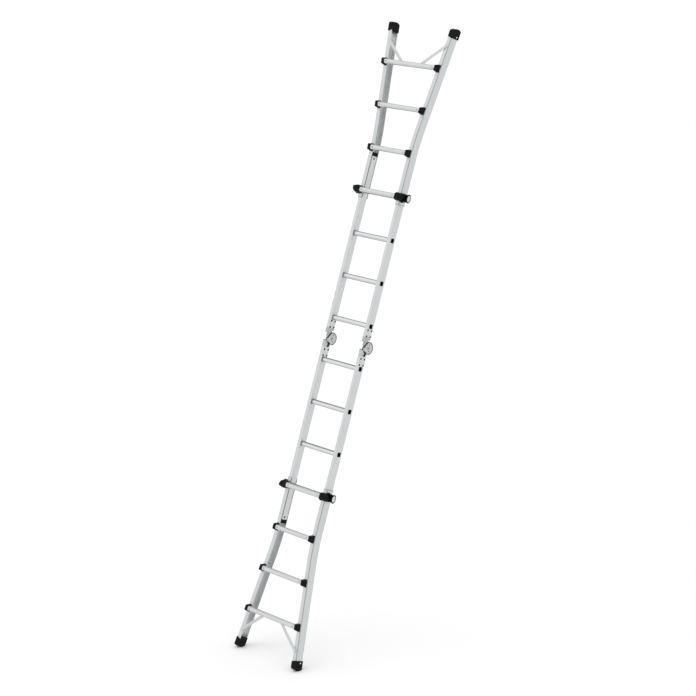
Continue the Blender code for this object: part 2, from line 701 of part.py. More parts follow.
def neck_outline(inset):
    """The (y, t) outline of the tongue's waisted neck, from its collar into the hinge's disc."""
    half_depth = INNER_DEPTH / 2
    fore = -half_depth + NECK_FRONT_INSET + inset
    aft = half_depth - NECK_BACK_INSET - inset
    inside = TONGUE_RADIUS / 2 - inset
    return [
        (fore, slant("upper", fore, COLLAR_SLAB / 2 + inset)),
        (fore, slant("upper", fore, COLLAR_SLAB + NECK_WAIST)),
        (fore - NECK_NOSE_FORWARD, NECK_NOSE_T),
        (PIVOT_Y - inside, -inside),
        (PIVOT_Y + inside, -inside),
        (PIVOT_Y + inside, inside),
        (aft, slant("upper", aft, COLLAR_SLAB + NECK_WAIST)),
        (aft, slant("upper", aft, COLLAR_SLAB / 2 + inset)),
    ]


def hinge_tongue(side, body):
    """The upper hinge member: a thin disc between the cheeks, a stepped neck, a collar and a tang."""
    face = stile_ring(stile_section(), lambda y: slant("upper", y, COLLAR_SLAB))
    foot = stile_ring(stile_section(), lambda y: slant("upper", y, FIT))
    tongue = make_piece(f"hinge_tongue_{side}", loft([face, foot]), body, "upper", side, "hinge_metal")
    combine(tongue, "UNION", tang_mesh("upper"), body, "upper", side)
    combine(tongue, "UNION", prism_x(neck_outline(0.0), X_HINGE_IN, X_HINGE_OUT), body, "upper", side)
    recess = hinge_disc(DISC_RADIUS + RUN, X_HINGE_IN - OVER, X_HINGE_OUT + OVER)
    combine(tongue, "DIFFERENCE", recess, body, "upper", side)
    thick = TONGUE_THICKNESS / 2
    thin = prism_x(neck_outline(NECK_STEP), X_INNER_MIDDLE - thick + FIT, X_INNER_MIDDLE + thick - FIT)
    combine(tongue, "UNION", thin, body, "upper", side)
    disc = hinge_disc(TONGUE_RADIUS, X_INNER_MIDDLE - thick, X_INNER_MIDDLE + thick)
    combine(tongue, "UNION", disc, body, "upper", side)
    eye = hinge_disc(PIN_RADIUS + FIT, X_HINGE_IN, X_HINGE_OUT)
    combine(tongue, "DIFFERENCE", eye, body, "upper", side)


def hinge_pin(side, body):
    """The headed pivot pin through both cheeks and the tongue."""
    face_in = X_HINGE_IN - FIT
    face_out = X_HINGE_OUT + FIT
    round_head = PIN_HEAD_RADIUS - PIN_HEAD / 2
    profile = [
        (face_in - PIN_HEAD, round_head),
        (face_in - PIN_HEAD / 2, PIN_HEAD_RADIUS),
        (face_in, PIN_HEAD_RADIUS),
        (face_in, PIN_RADIUS),
        (face_out, PIN_RADIUS),
        (face_out, PIN_HEAD_RADIUS),
        (face_out + PIN_HEAD / 2, PIN_HEAD_RADIUS),
        (face_out + PIN_HEAD, round_head),
    ]
    rings = []
    for x, radius in profile:
        circle = ellipse(2 * radius, 2 * radius, BORE_SEGMENTS)
        rings.append([Vector((x, PIVOT_Y + y, t)) for y, t in circle])
    make_piece(f"hinge_pin_{side}", loft(rings), body, "lower", side, "steel_pin")


def lever_pivot():
    """Where the lock lever turns, in (y, t)."""
    return (LEVER_BACK, slant("lower", LEVER_BACK, LEVER_FROM_END))


def lever_outline():
    """The lever's (y, t) side view: a bent bar from a round heel past the pivot to the elbow and the tip."""
    half_width = LEVER_WIDTH / 2
    arm_deg = math.radians(LEVER_ARM_DEG)
    tip_deg = math.radians(LEVER_TIP_DEG)
    arm = Vector((math.sin(arm_deg), -math.cos(arm_deg)))
    lean = Vector((-math.sin(tip_deg), -math.cos(tip_deg)))
    arm_side = Vector((-arm.y, arm.x))
    tip_side = Vector((-lean.y, lean.x))
    elbow = Vector(lever_pivot()) + arm * LEVER_ARM
    heel = Vector(lever_pivot()) - arm * LEVER_HEEL
    tip = elbow + lean * LEVER_TIP
    corner = (arm_side + tip_side) * half_width / (1 + arm_side.dot(tip_side))
    outline = arc(heel, half_width, LEVER_ARM_DEG, LEVER_ARM_DEG + 180, HEEL_STEPS)
    for point in (elbow - corner, tip - tip_side * half_width, tip + tip_side * half_width, elbow + corner):
        outline.append((point.x, point.y))
    return outline


def hinge_lever(side, body):
    """A bent lock lever with a bar on each face of the fork, joined by a hubbed pin through the fork."""
    x_far = X_INNER_IN - LEVER_LIFT
    x_near = X_INNER_OUT + LEVER_LIFT
    outline = lever_outline()
    near = prism_x(outline, x_near, x_near + LEVER_THICKNESS)
    lever = make_piece(f"hinge_lever_{side}", near, body, "lower", side, "black_plastic")
    profile = [
        (x_far - LEVER_THICKNESS / 2, LEVER_HUB_RADIUS),
        (X_INNER_IN - FIT, LEVER_HUB_RADIUS),
        (X_INNER_IN - FIT, LEVER_PIN_RADIUS),
        (X_INNER_OUT + FIT, LEVER_PIN_RADIUS),
        (X_INNER_OUT + FIT, LEVER_HUB_RADIUS),
        (x_near + LEVER_THICKNESS / 2, LEVER_HUB_RADIUS),
    ]
    y, t = lever_pivot()
    rings = []
    for x, radius in profile:
        rings.append([Vector((x, y + u, t + v)) for u, v in ellipse(2 * radius, 2 * radius, BORE_SEGMENTS)])
    combine(lever, "UNION", loft(rings), body, "lower", side)
    far = prism_x(outline, x_far - LEVER_THICKNESS, x_far)
    combine(lever, "UNION", far, body, "lower", side)


def build_outer_section(half, body, knobs):
    """Make the flared section of one half."""
    for number in range(RUNGS_PER_SECTION):
        outer_rung(half, number, body)
    for side in SIDES:
        outer_stile(half, side, body)
        shoe(half, side, body)
        lock_housing(half, side, body)
        lock_knob(half, side, knobs[side])
        for number in range(1, RUNGS_PER_SECTION):
            rung_bracket(half, number, side, body)


def build_inner_section(half, body):
    """Make the telescoping section of one half."""
    for number in range(RUNGS_PER_SECTION):
        inner_rung(half, number, body)
    for side in SIDES:
        inner_stile(half, side, body)
        glide(half, side, body)


def build_ladder():
    """Stand the ladder at its lean, with one empty for each moving body on its joint's axis."""
    lean = add_empty("ladder_lean", None, (0.0, 0.0, 0.0))
    lean.location = (0.0, T_SOLE_CENTRE * math.sin(LEAN), SOLE_RADIUS + T_SOLE_CENTRE * math.cos(LEAN))
    lean.rotation_euler = (-LEAN, 0.0, 0.0)
    outer = {half: Body(f"{half}_outer_body", lean, (0, 0, sign * T_LOCK)) for half, sign in HALVES.items()}
    lower_inner = Body("lower_inner_body", lean, (0, 0, -HINGE_TO_RUNG))
    upper_inner = Body("upper_inner_body", lean, (0, PIVOT_Y, 0))
    for half, sign in HALVES.items():
        knobs = {}
        for side, mirror in SIDES.items():
            axis = (mirror * X_KNOB, 0, sign * T_LOCK)
            knobs[side] = Body(f"{half}_lock_knob_{side}_body", lean, axis)
        build_outer_section(half, outer[half], knobs)
    build_inner_section("lower", lower_inner)
    build_inner_section("upper", upper_inner)
    for side, mirror in SIDES.items():
        hinge_fork(side, lower_inner)
        hinge_pin(side, lower_inner)
        hinge_tongue(side, upper_inner)
        pivot = (mirror * X_INNER_OUT, lever_pivot()[0], -lever_pivot()[1])
        hinge_lever(side, Body(f"hinge_lever_{side}_body", lean, pivot))


clear_scene()
MATERIALS = {name: make_material(name) for name in FINISHES}
build_ladder()
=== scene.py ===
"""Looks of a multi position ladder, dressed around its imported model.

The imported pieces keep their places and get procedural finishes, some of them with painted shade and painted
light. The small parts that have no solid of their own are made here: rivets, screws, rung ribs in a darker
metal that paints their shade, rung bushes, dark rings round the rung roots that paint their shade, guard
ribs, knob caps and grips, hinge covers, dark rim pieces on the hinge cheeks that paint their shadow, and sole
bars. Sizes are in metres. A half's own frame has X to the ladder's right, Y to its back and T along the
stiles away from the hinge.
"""

from __future__ import annotations

import logging
import math
from dataclasses import dataclass, field
from enum import Enum
from typing import Any, Iterable, Sequence, Union

import bmesh
import bpy
from mathutils import Euler, Matrix, Vector


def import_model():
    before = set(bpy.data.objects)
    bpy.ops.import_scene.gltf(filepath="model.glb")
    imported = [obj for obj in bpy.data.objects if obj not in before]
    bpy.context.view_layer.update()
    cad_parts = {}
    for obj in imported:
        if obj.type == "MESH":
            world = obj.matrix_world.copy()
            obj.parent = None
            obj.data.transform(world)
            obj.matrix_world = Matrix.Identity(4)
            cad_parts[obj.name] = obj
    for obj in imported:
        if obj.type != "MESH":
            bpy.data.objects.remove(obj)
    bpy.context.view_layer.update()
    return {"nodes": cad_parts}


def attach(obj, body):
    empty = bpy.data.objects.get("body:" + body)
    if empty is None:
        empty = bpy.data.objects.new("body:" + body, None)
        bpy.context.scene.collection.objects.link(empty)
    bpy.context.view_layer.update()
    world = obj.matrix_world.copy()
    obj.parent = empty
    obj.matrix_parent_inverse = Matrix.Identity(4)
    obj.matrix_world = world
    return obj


LOG = logging.getLogger("ladder")
SEAT_GAP = 0.00005  # keeps a small part's face off the solid that it lies on
CREASE_DEG = 32.0  # edges sharper than this stay sharp

Colour = tuple[float, float, float]
Span = tuple[float, float]
Outline = Sequence[tuple[float, float]]
Ring = list[Vector]


class Sense(Enum):
    """A choice between the two senses of an axis."""

    @property
    def label(self) -> str:
        """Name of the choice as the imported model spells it."""
        return self.name.lower()


class Half(Sense):
    """The two hinged halves, with the sense in which T runs along the ladder."""

    LOWER = -1
    UPPER = 1


class Side(Sense):
    """The two stiles, with the sense of X."""

    LEFT = -1
    RIGHT = 1


class Grain(Enum):
    """Which way an extruded piece was drawn, with the share at which its lines change that way."""

    ALONG_STILE = 0.012
    ALONG_RUNG = 0.02


@dataclass(frozen=True)
class LeaningFrame:
    """The ladder's own frame, leaning back against its wall with the soles on the floor.

    Attributes:
        lean_deg: Angle of the stiles from upright.
        sole_radius: Radius of the round soles.
        sole_centre: Distance from the hinge line to the sole's centre of curvature.
    """

    lean_deg: float = 19.5
    sole_radius: float = 0.050
    sole_centre: float = 2.035

    @property
    def lean(self) -> float:
        """The lean in radians."""
        return math.radians(self.lean_deg)

    @property
    def origin(self) -> Vector:
        """The hinge line's middle, in the part's frame."""
        rise = self.sole_radius + self.sole_centre * math.cos(self.lean)
        return Vector((0.0, self.sole_centre * math.sin(self.lean), rise))

    def turn(self, half: Half, side: Side) -> Matrix:
        """Map a half's own frame to the part's frame.

        Args:
            half: The half that the piece belongs to.
            side: The side that the piece belongs to.

        Returns:
            A matrix that mirrors, leans and places a piece.
        """
        mirror = Matrix.Diagonal((side.value, 1.0, half.value, 1.0))
        return Matrix.Translation(self.origin) @ Matrix.Rotation(-self.lean, 4, "X") @ mirror


@dataclass(frozen=True)
class StileSizes:
    """Sizes of the stiles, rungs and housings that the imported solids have.

    Attributes:
        inner_in: Inner face of the inner stile, along X.
        inner_out: Outer face of the inner stile, along X.
        inner_depth: Depth of the inner stile, along Y.
        inner_past_lock: Length of the inner stile past the lock's axis.
        web_out: Outer face of the channel's web, along X.
        half_depth: Half the channel's depth, along Y.
        flange: Width of the channel's flange.
        mouth_before_lock: Length of the channel before the lock's axis.
        rungs: Rungs in a section.
        first_rung: Distance from the hinge line to the first rung.
        pitch: Rung pitch.
        rung_height: Height of a rung, along T.
        outer_rung_gap: Gap between the channel and an outer rung, along Y.
        outer_rung_depth: Depth of an outer rung, along Y.
        housing_reach: Reach of the lock housings and brackets before the channel.
        bend_radius: Radius of the channel's bend.
        bend_past_rung: Distance of the bend's middle past the second outer rung.
        flare_deg: Angle of the flare.
        pivot_y: Place of the hinge's pivot, along Y.
    """

    inner_in: float = 0.156
    inner_out: float = 0.182
    inner_depth: float = 0.053
    inner_past_lock: float = 0.227
    web_out: float = 0.1855
    half_depth: float = 0.0295
    flange: float = 0.031
    mouth_before_lock: float = 0.050
    rungs: int = 4
    first_rung: float = 0.139
    pitch: float = 0.280
    rung_height: float = 0.030
    outer_rung_gap: float = 0.0040
    outer_rung_depth: float = 0.026
    housing_reach: float = 0.034
    bend_radius: float = 1.45
    bend_past_rung: float = 0.067
    flare_deg: float = 7.9
    pivot_y: float = 0.030

    @property
    def inner_middle(self) -> float:
        """Middle of the inner stile, along X."""
        return (self.inner_in + self.inner_out) / 2

    @property
    def inner_rungs(self) -> list[float]:
        """Distances from the hinge line to the inner section's rungs."""
        return [self.first_rung + number * self.pitch for number in range(self.rungs)]

    @property
    def outer_rungs(self) -> list[float]:
        """Distances from the hinge line to the outer section's rungs, from the lock rung to the end rung."""
        return [self.lock + number * self.pitch for number in range(self.rungs)]

    @property
    def outer_rung_y(self) -> float:
        """Middle of the outer rungs, along Y."""
        return -(self.half_depth + self.outer_rung_gap + self.outer_rung_depth / 2)

    @property
    def outer_rung_front(self) -> float:
        """Front of the outer rungs, along Y."""
        return -(self.half_depth + self.outer_rung_gap + self.outer_rung_depth)

    @property
    def housing_front(self) -> float:
        """Front of the lock housings and brackets, along Y."""
        return -(self.half_depth + self.housing_reach)

    @property
    def lock(self) -> float:
        """Distance from the hinge line to the lock's axis."""
        return self.inner_rungs[-1]

    @property
    def inner_end(self) -> float:
        """Distance from the hinge line to the end of the inner stile."""
        return self.lock + self.inner_past_lock

    @property
    def mouth(self) -> float:
        """Distance from the hinge line to the channel's open end."""
        return self.lock - self.mouth_before_lock

    @property
    def bend_middle(self) -> float:
        """Distance from the hinge line to the corner that the bend rounds off."""
        return self.lock + self.pitch + self.bend_past_rung

    def channel_middle(self, t: float) -> float:
        """Middle of the channel's flange at a distance from the hinge line.

        Args:
            t: Distance from the hinge line.

        Returns:
            The place along X.
        """
        flare = math.radians(self.flare_deg)
        start = self.bend_middle - self.bend_radius * math.tan(flare / 2)
        end = start + self.bend_radius * math.sin(flare)
        straight = self.web_out - self.flange / 2
        if t <= start:
            return straight
        if t < end:
            angle = math.asin((t - start) / self.bend_radius)
            return straight + self.bend_radius * (1 - math.cos(angle))
        return straight + self.bend_radius * (1 - math.cos(flare)) + (t - end) * math.tan(flare)


@dataclass(frozen=True)
class ShadeLightAndWearZones:
    """Where the finishes' painted shade, painted light and worn places change, each zone as the start and the
    end of a smooth rise.

    Attributes:
        rung_edge: From a rung's middle, where the rung is over.
        tread: Up from a rung's middle, where the painted shade of its upper edge begins.
        low_face: Down from a rung's middle, where the painted shade of its lower part begins.
        track: Forwards from a stile's middle, where the painted shadow of the front flange begins.
        track_mouth: Past a channel's mouth, where that painted shadow begins.
        mouth_shade_zone: Past a channel's mouth, where the painted shade of its edge is over.
        root_start: From the hinge line, where the upper tube's dark root begins.
        root_end: From the hinge line, where that root is over.
        shoe_side: Past the end rung, where the painted light beside a shoe begins.
        tube_end: Past the inner stile's end, where the painted light on the flanges' insides falls off.
        cheek_edge: From the hinge's pivot, where the cheeks are over.
        fork_low: Down from the pivot, where the fork's plain front begins.
        fork_front: Forwards from the pivot, where that front begins.
        pin_core: From the pivot, where the dark middle of a pin's head is over.
        cap_back: Backwards from a stile's middle, where the painted shade on a knob's cap rises.
        sole: From the hinge line, where a shoe's worn sole begins.
    """

    rung_edge: Span = (0.0165, 0.0175)
    tread: Span = (0.0080, 0.0105)
    low_face: Span = (0.0035, 0.0050)
    track: Span = (0.0180, 0.0200)
    track_mouth: Span = (0.0, 0.004)
    mouth_shade_zone: Span = (0.003, 0.006)
    root_start: Span = (0.0, 0.002)
    root_end: Span = (0.066, 0.074)
    shoe_side: Span = (0.05, 0.17)
    tube_end: Span = (0.0, 0.03)
    cheek_edge: Span = (0.0434, 0.0438)
    fork_low: Span = (0.002, 0.006)
    fork_front: Span = (0.010, 0.014)
    pin_core: Span = (0.0036, 0.0046)
    cap_back: Span = (-0.008, 0.010)
    sole: Span = (2.062, 2.080)


FRAME = LeaningFrame()
STILES = StileSizes()
ZONES = ShadeLightAndWearZones()


class Wire:
    """A shader or geometry socket that takes part in Python arithmetic."""

    def __init__(self, desk: "NodeDesk", socket: bpy.types.NodeSocket) -> None:
        """Hold a socket and the desk that adds nodes behind it.

        Args:
            desk: The desk that owns the node tree.
            socket: The output socket.
        """
        self.desk = desk
        self.socket = socket

    def _math(self, operation: str, first: "Number", second: "Number" = 0.0) -> "Wire":
        """Add one Math node for an operation on two numbers."""
        return self.desk.node("ShaderNodeMath", {"operation": operation}, {0: first, 1: second})

    def __add__(self, other: "Number") -> "Wire":
        """Sum."""
        return self._math("ADD", self, other)

    __radd__ = __add__

    def __sub__(self, other: "Number") -> "Wire":
        """Difference."""
        return self._math("SUBTRACT", self, other)

    def __rsub__(self, other: "Number") -> "Wire":
        """Difference with the number first."""
        return self._math("SUBTRACT", other, self)

    def __mul__(self, other: "Number") -> "Wire":
        """Product."""
        return self._math("MULTIPLY", self, other)

    __rmul__ = __mul__

    def __truediv__(self, other: "Number") -> "Wire":
        """Quotient."""
        return self._math("DIVIDE", self, other)

    def __abs__(self) -> "Wire":
        """Size without sign."""
        return self._math("ABSOLUTE", self)

    def above(self, low: float) -> "Wire":
        """The larger of this and a number."""
        return self._math("MAXIMUM", self, low)

    def wrap(self, low: float, high: float) -> "Wire":
        """Fold the value into a repeating span."""
        return self.desk.node("ShaderNodeMath", {"operation": "WRAP"}, {0: self, 1: high, 2: low})

    def step(self, low: float, high: float, past: float = 0.0) -> "Wire":
        """Rise smoothly from 0 at the low value to 1 at the high one, both counted from a third value."""
        inputs = {"Value": self, "From Min": past + low, "From Max": past + high}
        return self.desk.node("ShaderNodeMapRange", {"interpolation_type": "SMOOTHSTEP"}, inputs)


Number = Union[float, int, Wire]


class NodeDesk:
    """A node tree and the single way in which nodes are added to it."""

    def __init__(self, tree: bpy.types.NodeTree) -> None:
        """Hold a node tree.

        Args:
            tree: The shader or geometry tree.
        """
        self.tree = tree

    def raw(
        self,
        kind: str,
        settings: dict[str, Any] | None = None,
        inputs: dict[int | str, Any] | None = None,
    ) -> bpy.types.Node:
        """Add a node, set its own settings first and then fill its sockets.

        Args:
            kind: The node's type.
            settings: Attributes of the node.
            inputs: Values or wires by socket name or number.

        Returns:
            The node.
        """
        node = self.tree.nodes.new(kind)
        for key, value in (settings or {}).items():
            setattr(node, key, value)
        for key, value in (inputs or {}).items():
            if isinstance(value, Wire):
                self.tree.links.new(value.socket, node.inputs[key])
            else:
                node.inputs[key].default_value = value
        return node

    def node(
        self,
        kind: str,
        settings: dict[str, Any] | None = None,
        inputs: dict[int | str, Any] | None = None,
        output: int | str = 0,
    ) -> Wire:
        """Add a node and hand back one of its outputs.

        Args:
            kind: The node's type.
            settings: Attributes of the node.
            inputs: Values or wires by socket name or number.
            output: Name or number of the output.

        Returns:
            The output as a wire.
        """
        return Wire(self, self.raw(kind, settings, inputs).outputs[output])

    def join(self, x: Number = 0.0, y: Number = 0.0, z: Number = 0.0) -> Wire:
        """Join three numbers into a vector."""
        return self.node("ShaderNodeCombineXYZ", inputs={0: x, 1: y, 2: z})


@dataclass
class LadderAxes:
    """Places or directions on a surface in the ladder's own frame, as wires.

    Attributes:
        x: To the ladder's right.
        y: To its back.
        s: Along the stiles, from the hinge line upwards.
    """

    x: Wire
    y: Wire
    s: Wire


class ShaderDesk(NodeDesk):
    """A material's node tree with the patterns that this ladder's finishes share."""

    def __init__(self, name: str) -> None:
        """Make an empty material.

        Args:
            name: The material's name.
        """
        self.material = bpy.data.materials.new(name)
        self.material.use_nodes = True
        super().__init__(self.material.node_tree)
        self.tree.nodes.clear()

    def coordinates(self) -> Wire:
        """The surface's place in the part's frame."""
        return self.node("ShaderNodeTexCoord", output="Object")

    def turned(self, vector: Wire, kind: str) -> LadderAxes:
        """Turn a vector into the ladder's own frame and split it.

        Args:
            vector: The vector in the part's frame.
            kind: The Mapping node's name for places or directions.

        Returns:
            Its three parts.
        """
        inputs = {"Vector": vector, "Rotation": (FRAME.lean, 0, 0)}
        leaning = self.node("ShaderNodeMapping", {"vector_type": kind}, inputs)
        parts = self.raw("ShaderNodeSeparateXYZ", inputs={0: leaning}).outputs
        return LadderAxes(*(Wire(self, part) for part in parts))

    def ladder_axes(self) -> LadderAxes:
        """The surface's place in the ladder's own frame."""
        inputs = {0: self.coordinates(), 1: FRAME.origin}
        return self.turned(self.node("ShaderNodeVectorMath", {"operation": "SUBTRACT"}, inputs), "POINT")

    def facing(self) -> LadderAxes:
        """The surface's outward direction in the ladder's own frame."""
        return self.turned(self.node("ShaderNodeTexCoord", output="Normal"), "NORMAL")

    def noise(self, vector: Wire, scale: float, detail: float = 2.0, rough: float = 0.5) -> Wire:
        """A cloudy pattern from 0 to 1.

        Args:
            vector: Where the pattern is read.
            scale: Patches in a metre.
            detail: Octaves of finer patches.
            rough: Strength of the finer patches.

        Returns:
            The pattern.
        """
        inputs = {"Vector": vector, "Scale": scale, "Detail": detail, "Roughness": rough}
        return self.node("ShaderNodeTexNoise", inputs=inputs)

    def mix(self, factor: Number, first: Colour | Wire, second: Colour | Wire) -> Wire:
        """Mix two colours.

        Args:
            factor: Share of the second colour.
            first: The colour at 0.
            second: The colour at 1.

        Returns:
            The mixed colour.
        """
        def fill(colour: Colour | Wire) -> Any:
            """Give a plain colour its alpha."""
            return colour if isinstance(colour, Wire) else (*colour, 1.0)

        inputs = {0: factor, 6: fill(first), 7: fill(second)}
        return self.node("ShaderNodeMix", {"data_type": "RGBA"}, inputs, output=2)

    def bump(self, height: Wire, strength: float, distance: float) -> Wire:
        """Turn a height pattern into a normal."""
        inputs = {"Height": height, "Strength": strength, "Distance": distance}
        return self.node("ShaderNodeBump", inputs=inputs, output="Normal")

    def surface(self, **sockets: Any) -> bpy.types.Material:
        """Close the tree with one Principled shader.

        Args:
            **sockets: Values or wires, with spaces in socket names written as underscores.

        Returns:
            The material.
        """
        named = {key.replace("_", " "): value for key, value in sockets.items()}
        shader = self.node("ShaderNodeBsdfPrincipled", inputs=named)
        self.raw("ShaderNodeOutputMaterial", inputs={"Surface": shader})
        return self.material


def scaled(colour: Colour, share: float) -> Colour:
    """A colour made darker or paler, short of pure white."""
    return tuple(min(share * channel, 0.9) for channel in colour)


def outward(place: Wire, facing: Wire, near: float) -> Wire:
    """How far a face looks away from the ladder's middle along one axis.

    Args:
        place: The face's place on the axis.
        facing: The face's direction on the axis.
        near: Distance from the middle within which the answer fades.

    Returns:
        From -1 towards the middle to 1 away from it.
    """
    return facing * place / abs(place).above(near)


@dataclass(frozen=True)
class ExtrudedAluminium:
    """Satin aluminium with die lines along the piece, handling marks, painted shade in hollows and corners,
    and painted light.

    Attributes:
        name: The material's name.
        colour: Colour of the clean metal.
        grain: Which way the die lines run.
        roughness: Mean roughness.
        corner_shade: How much painted shade darkens the rounded corners.
        hollow_shade: How much painted shade darkens the inside of a channel.
        tread_shade: How much painted shade darkens the upper edge and the underside of a rung.
        lower_shade: How much painted shade darkens the lower part of a rung.
        brace_shade: How much darker the braces under a rung are.
        track_shade: How much the painted shadow of the front flange darkens the tube beside it.
        root_shade: How much darker the upper tube's end at the hinge is.
        end_shade: How much painted shade darkens the edge of a channel's mouth.
        shoe_side_light: How much painted light brightens the inside of a channel beside a shoe, against the
            shoe's shade.
        flange_light: How much painted light brightens the insides of a channel's flanges beside the tube.
        flange_light_loss: Share of that painted light that is missing past the tube's end.
        darkest_share: Darkest share of the metal's colour that painted shade and the die lines reach.
        lustre: Brightest share of the metal's colour.
        fine_lines: Fine die lines in a metre.
        broad_lines: Broad die lines in a metre.
        scuff_colour: Colour of handling marks.
        shoe_side_light_colour: Colour of the painted light beside a shoe.
        flange_light_colour: Colour of the painted light on the flanges' insides.
    """

    name: str
    colour: Colour
    grain: Grain
    roughness: float = 0.40
    corner_shade: float = 0.0
    hollow_shade: float = 0.0
    tread_shade: float = 0.0
    lower_shade: float = 0.0
    brace_shade: float = 0.0
    track_shade: float = 0.0
    root_shade: float = 0.0
    end_shade: float = 0.0
    shoe_side_light: float = 0.0
    flange_light: float = 0.0
    flange_light_loss: float = 0.75
    darkest_share: float = 0.10
    lustre: float = 1.14
    fine_lines: float = 900.0
    broad_lines: float = 160.0
    scuff_colour: Colour = (0.80, 0.81, 0.82)
    shoe_side_light_colour: Colour = (0.93, 0.94, 0.94)
    flange_light_colour: Colour = (0.97, 0.975, 0.975)

    def drawn(self, desk: ShaderDesk, place: LadderAxes) -> Wire:
        """Places stretched the way that the piece was drawn, round the channel's bend too.

        Args:
            desk: The material's desk.
            place: Places in the ladder's own frame.

        Returns:
            The stretched places.
        """
        if self.grain is Grain.ALONG_RUNG:
            return desk.join(place.x * self.grain.value, place.y, place.s)
        flare = math.tan(math.radians(STILES.flare_deg))
        across = abs(place.x) - (abs(place.s) - STILES.bend_middle).above(0.0) * flare
        return desk.join(across, place.y, place.s * self.grain.value)

    def inward(self, place: LadderAxes, facing: LadderAxes) -> Wire:
        """Mask of the inside faces of a channel's flanges."""
        return (0.0 - outward(place.y, facing.y, 0.005)).step(0.3, 0.8)

    def hollow(self, place: LadderAxes, facing: LadderAxes) -> Wire:
        """Mask of all inside faces of a channel.

        Args:
            place: Places in the ladder's own frame.
            facing: Outward directions in the ladder's own frame.

        Returns:
            One on the inside faces and zero elsewhere.
        """
        sideways = (0.0 - outward(place.x, facing.x, 0.01)).step(0.3, 0.8)
        inward = self.inward(place, facing)
        return sideways + inward - sideways * inward

    def darkening_shares(self, place: LadderAxes, facing: LadderAxes) -> list[Wire]:
        """Shares of brightness kept under painted shade on corners, hollows, rungs, flange sides and mouths,
        and on braces and roots.

        Args:
            place: Places in the ladder's own frame.
            facing: Outward directions in the ladder's own frame.

        Returns:
            One share for each kind of wear that this finish has.
        """
        kept = []
        # Painted shade on the rounded outer corners.
        if self.corner_shade:
            corner = abs(facing.x * facing.y).step(0.08, 0.34)
            outer = outward(place.x, facing.x, 0.01).step(0.0, 0.05)
            kept.append(1.0 - self.corner_shade * corner * outer)
        # Painted shade inside a channel.
        if self.hollow_shade:
            kept.append(1.0 - self.hollow_shade * self.hollow(place, facing))
        # Painted shade on a rung's upper edge, underside and lower part; the braces outside the rungs are
        # darker.
        if self.tread_shade:
            level = (place.s + STILES.pitch / 2).wrap(-STILES.pitch / 2, STILES.pitch / 2)
            rung = 1.0 - abs(level).step(*ZONES.rung_edge)
            edge = level.step(*ZONES.tread)
            under = (0.0 - facing.s).step(0.4, 0.85)
            kept.append(1.0 - self.tread_shade * rung * (edge + under - edge * under))
            kept.append(1.0 - self.lower_shade * rung * (0.0 - level).step(*ZONES.low_face))
            kept.append(1.0 - self.brace_shade * (1.0 - rung))
        # Painted shadow that the front flange casts on the tube inside the channel.
        if self.track_shade:
            inside = abs(place.s).step(*ZONES.track_mouth, STILES.mouth)
            front = (0.0 - place.y).step(*ZONES.track) * abs(facing.x).step(0.4, 0.7)
            kept.append(1.0 - self.track_shade * inside * front)
        if self.root_shade:
            root = place.s.step(*ZONES.root_start) * (1.0 - place.s.step(*ZONES.root_end))
            kept.append(1.0 - self.root_shade * root)
        # Painted shade along the edge of a channel's mouth.
        if self.end_shade:
            past_mouth_shade = abs(place.s).step(*ZONES.mouth_shade_zone, STILES.mouth)
            kept.append(1.0 - self.end_shade * (1.0 - past_mouth_shade))
        return kept

    def add_painted_light(self, desk: ShaderDesk, tone: Wire, place: LadderAxes, facing: LadderAxes) -> Wire:
        """Add painted light inside a channel beside a shoe and on the insides of its flanges beside the tube.

        Args:
            desk: The material's desk.
            tone: Colour so far.
            place: Places in the ladder's own frame.
            facing: Outward directions in the ladder's own frame.

        Returns:
            The new colour.
        """
        # Painted light inside a channel beside a shoe, which lifts the shoe's shade.
        if self.shoe_side_light:
            beside_shoe = abs(place.s).step(*ZONES.shoe_side, STILES.outer_rungs[-1])
            painted_shoe_light = self.shoe_side_light * beside_shoe * self.hollow(place, facing)
            tone = desk.mix(painted_shoe_light, tone, self.shoe_side_light_colour)
        # Painted light on the insides of a channel's flanges beside the tube, weaker past the tube's end.
        if self.flange_light:
            light_kept = 1.0 - self.flange_light_loss * abs(place.s).step(*ZONES.tube_end, STILES.inner_end)
            painted_flange_light = self.flange_light * light_kept * self.inward(place, facing)
            tone = desk.mix(painted_flange_light, tone, self.flange_light_colour)
        return tone

    def build(self) -> bpy.types.Material:
        """Make the material.

        Returns:
            The finished material.
        """
        desk = ShaderDesk(self.name)
        where, place, facing = desk.coordinates(), desk.ladder_axes(), desk.facing()
        drawn = self.drawn(desk, place)
        die_lines = desk.noise(drawn, self.fine_lines, 3.0, 0.6)
        broad_lines = desk.noise(drawn, self.broad_lines)
        clouds = desk.noise(where, 7.0, 4.0, 0.6)
        scuff_field = desk.noise(where, 55.0, 5.0, 0.7)
        scuffs = scuff_field.step(0.63, 0.72) * clouds.step(0.45, 0.65)
        shade = 1.0 - 0.07 * die_lines - 0.07 * broad_lines - 0.06 * clouds
        for share in self.darkening_shares(place, facing):
            shade = shade * share
        clean = scaled(self.colour, self.lustre)
        tone = desk.mix((shade - self.darkest_share) / (1.0 - self.darkest_share), scaled(self.colour, self.darkest_share), clean)
        tone = self.add_painted_light(desk, tone, place, facing)
        colour = desk.mix(scuffs * 0.35, tone, self.scuff_colour)
        roughness = self.roughness - 0.06 + 0.10 * die_lines + 0.08 * clouds + 0.10 * scuffs
        normal = desk.bump(die_lines + 0.5 * scuff_field, 0.25, 0.00025)
        return desk.surface(Base_Color=colour, Metallic=0.85, Roughness=roughness, Normal=normal)


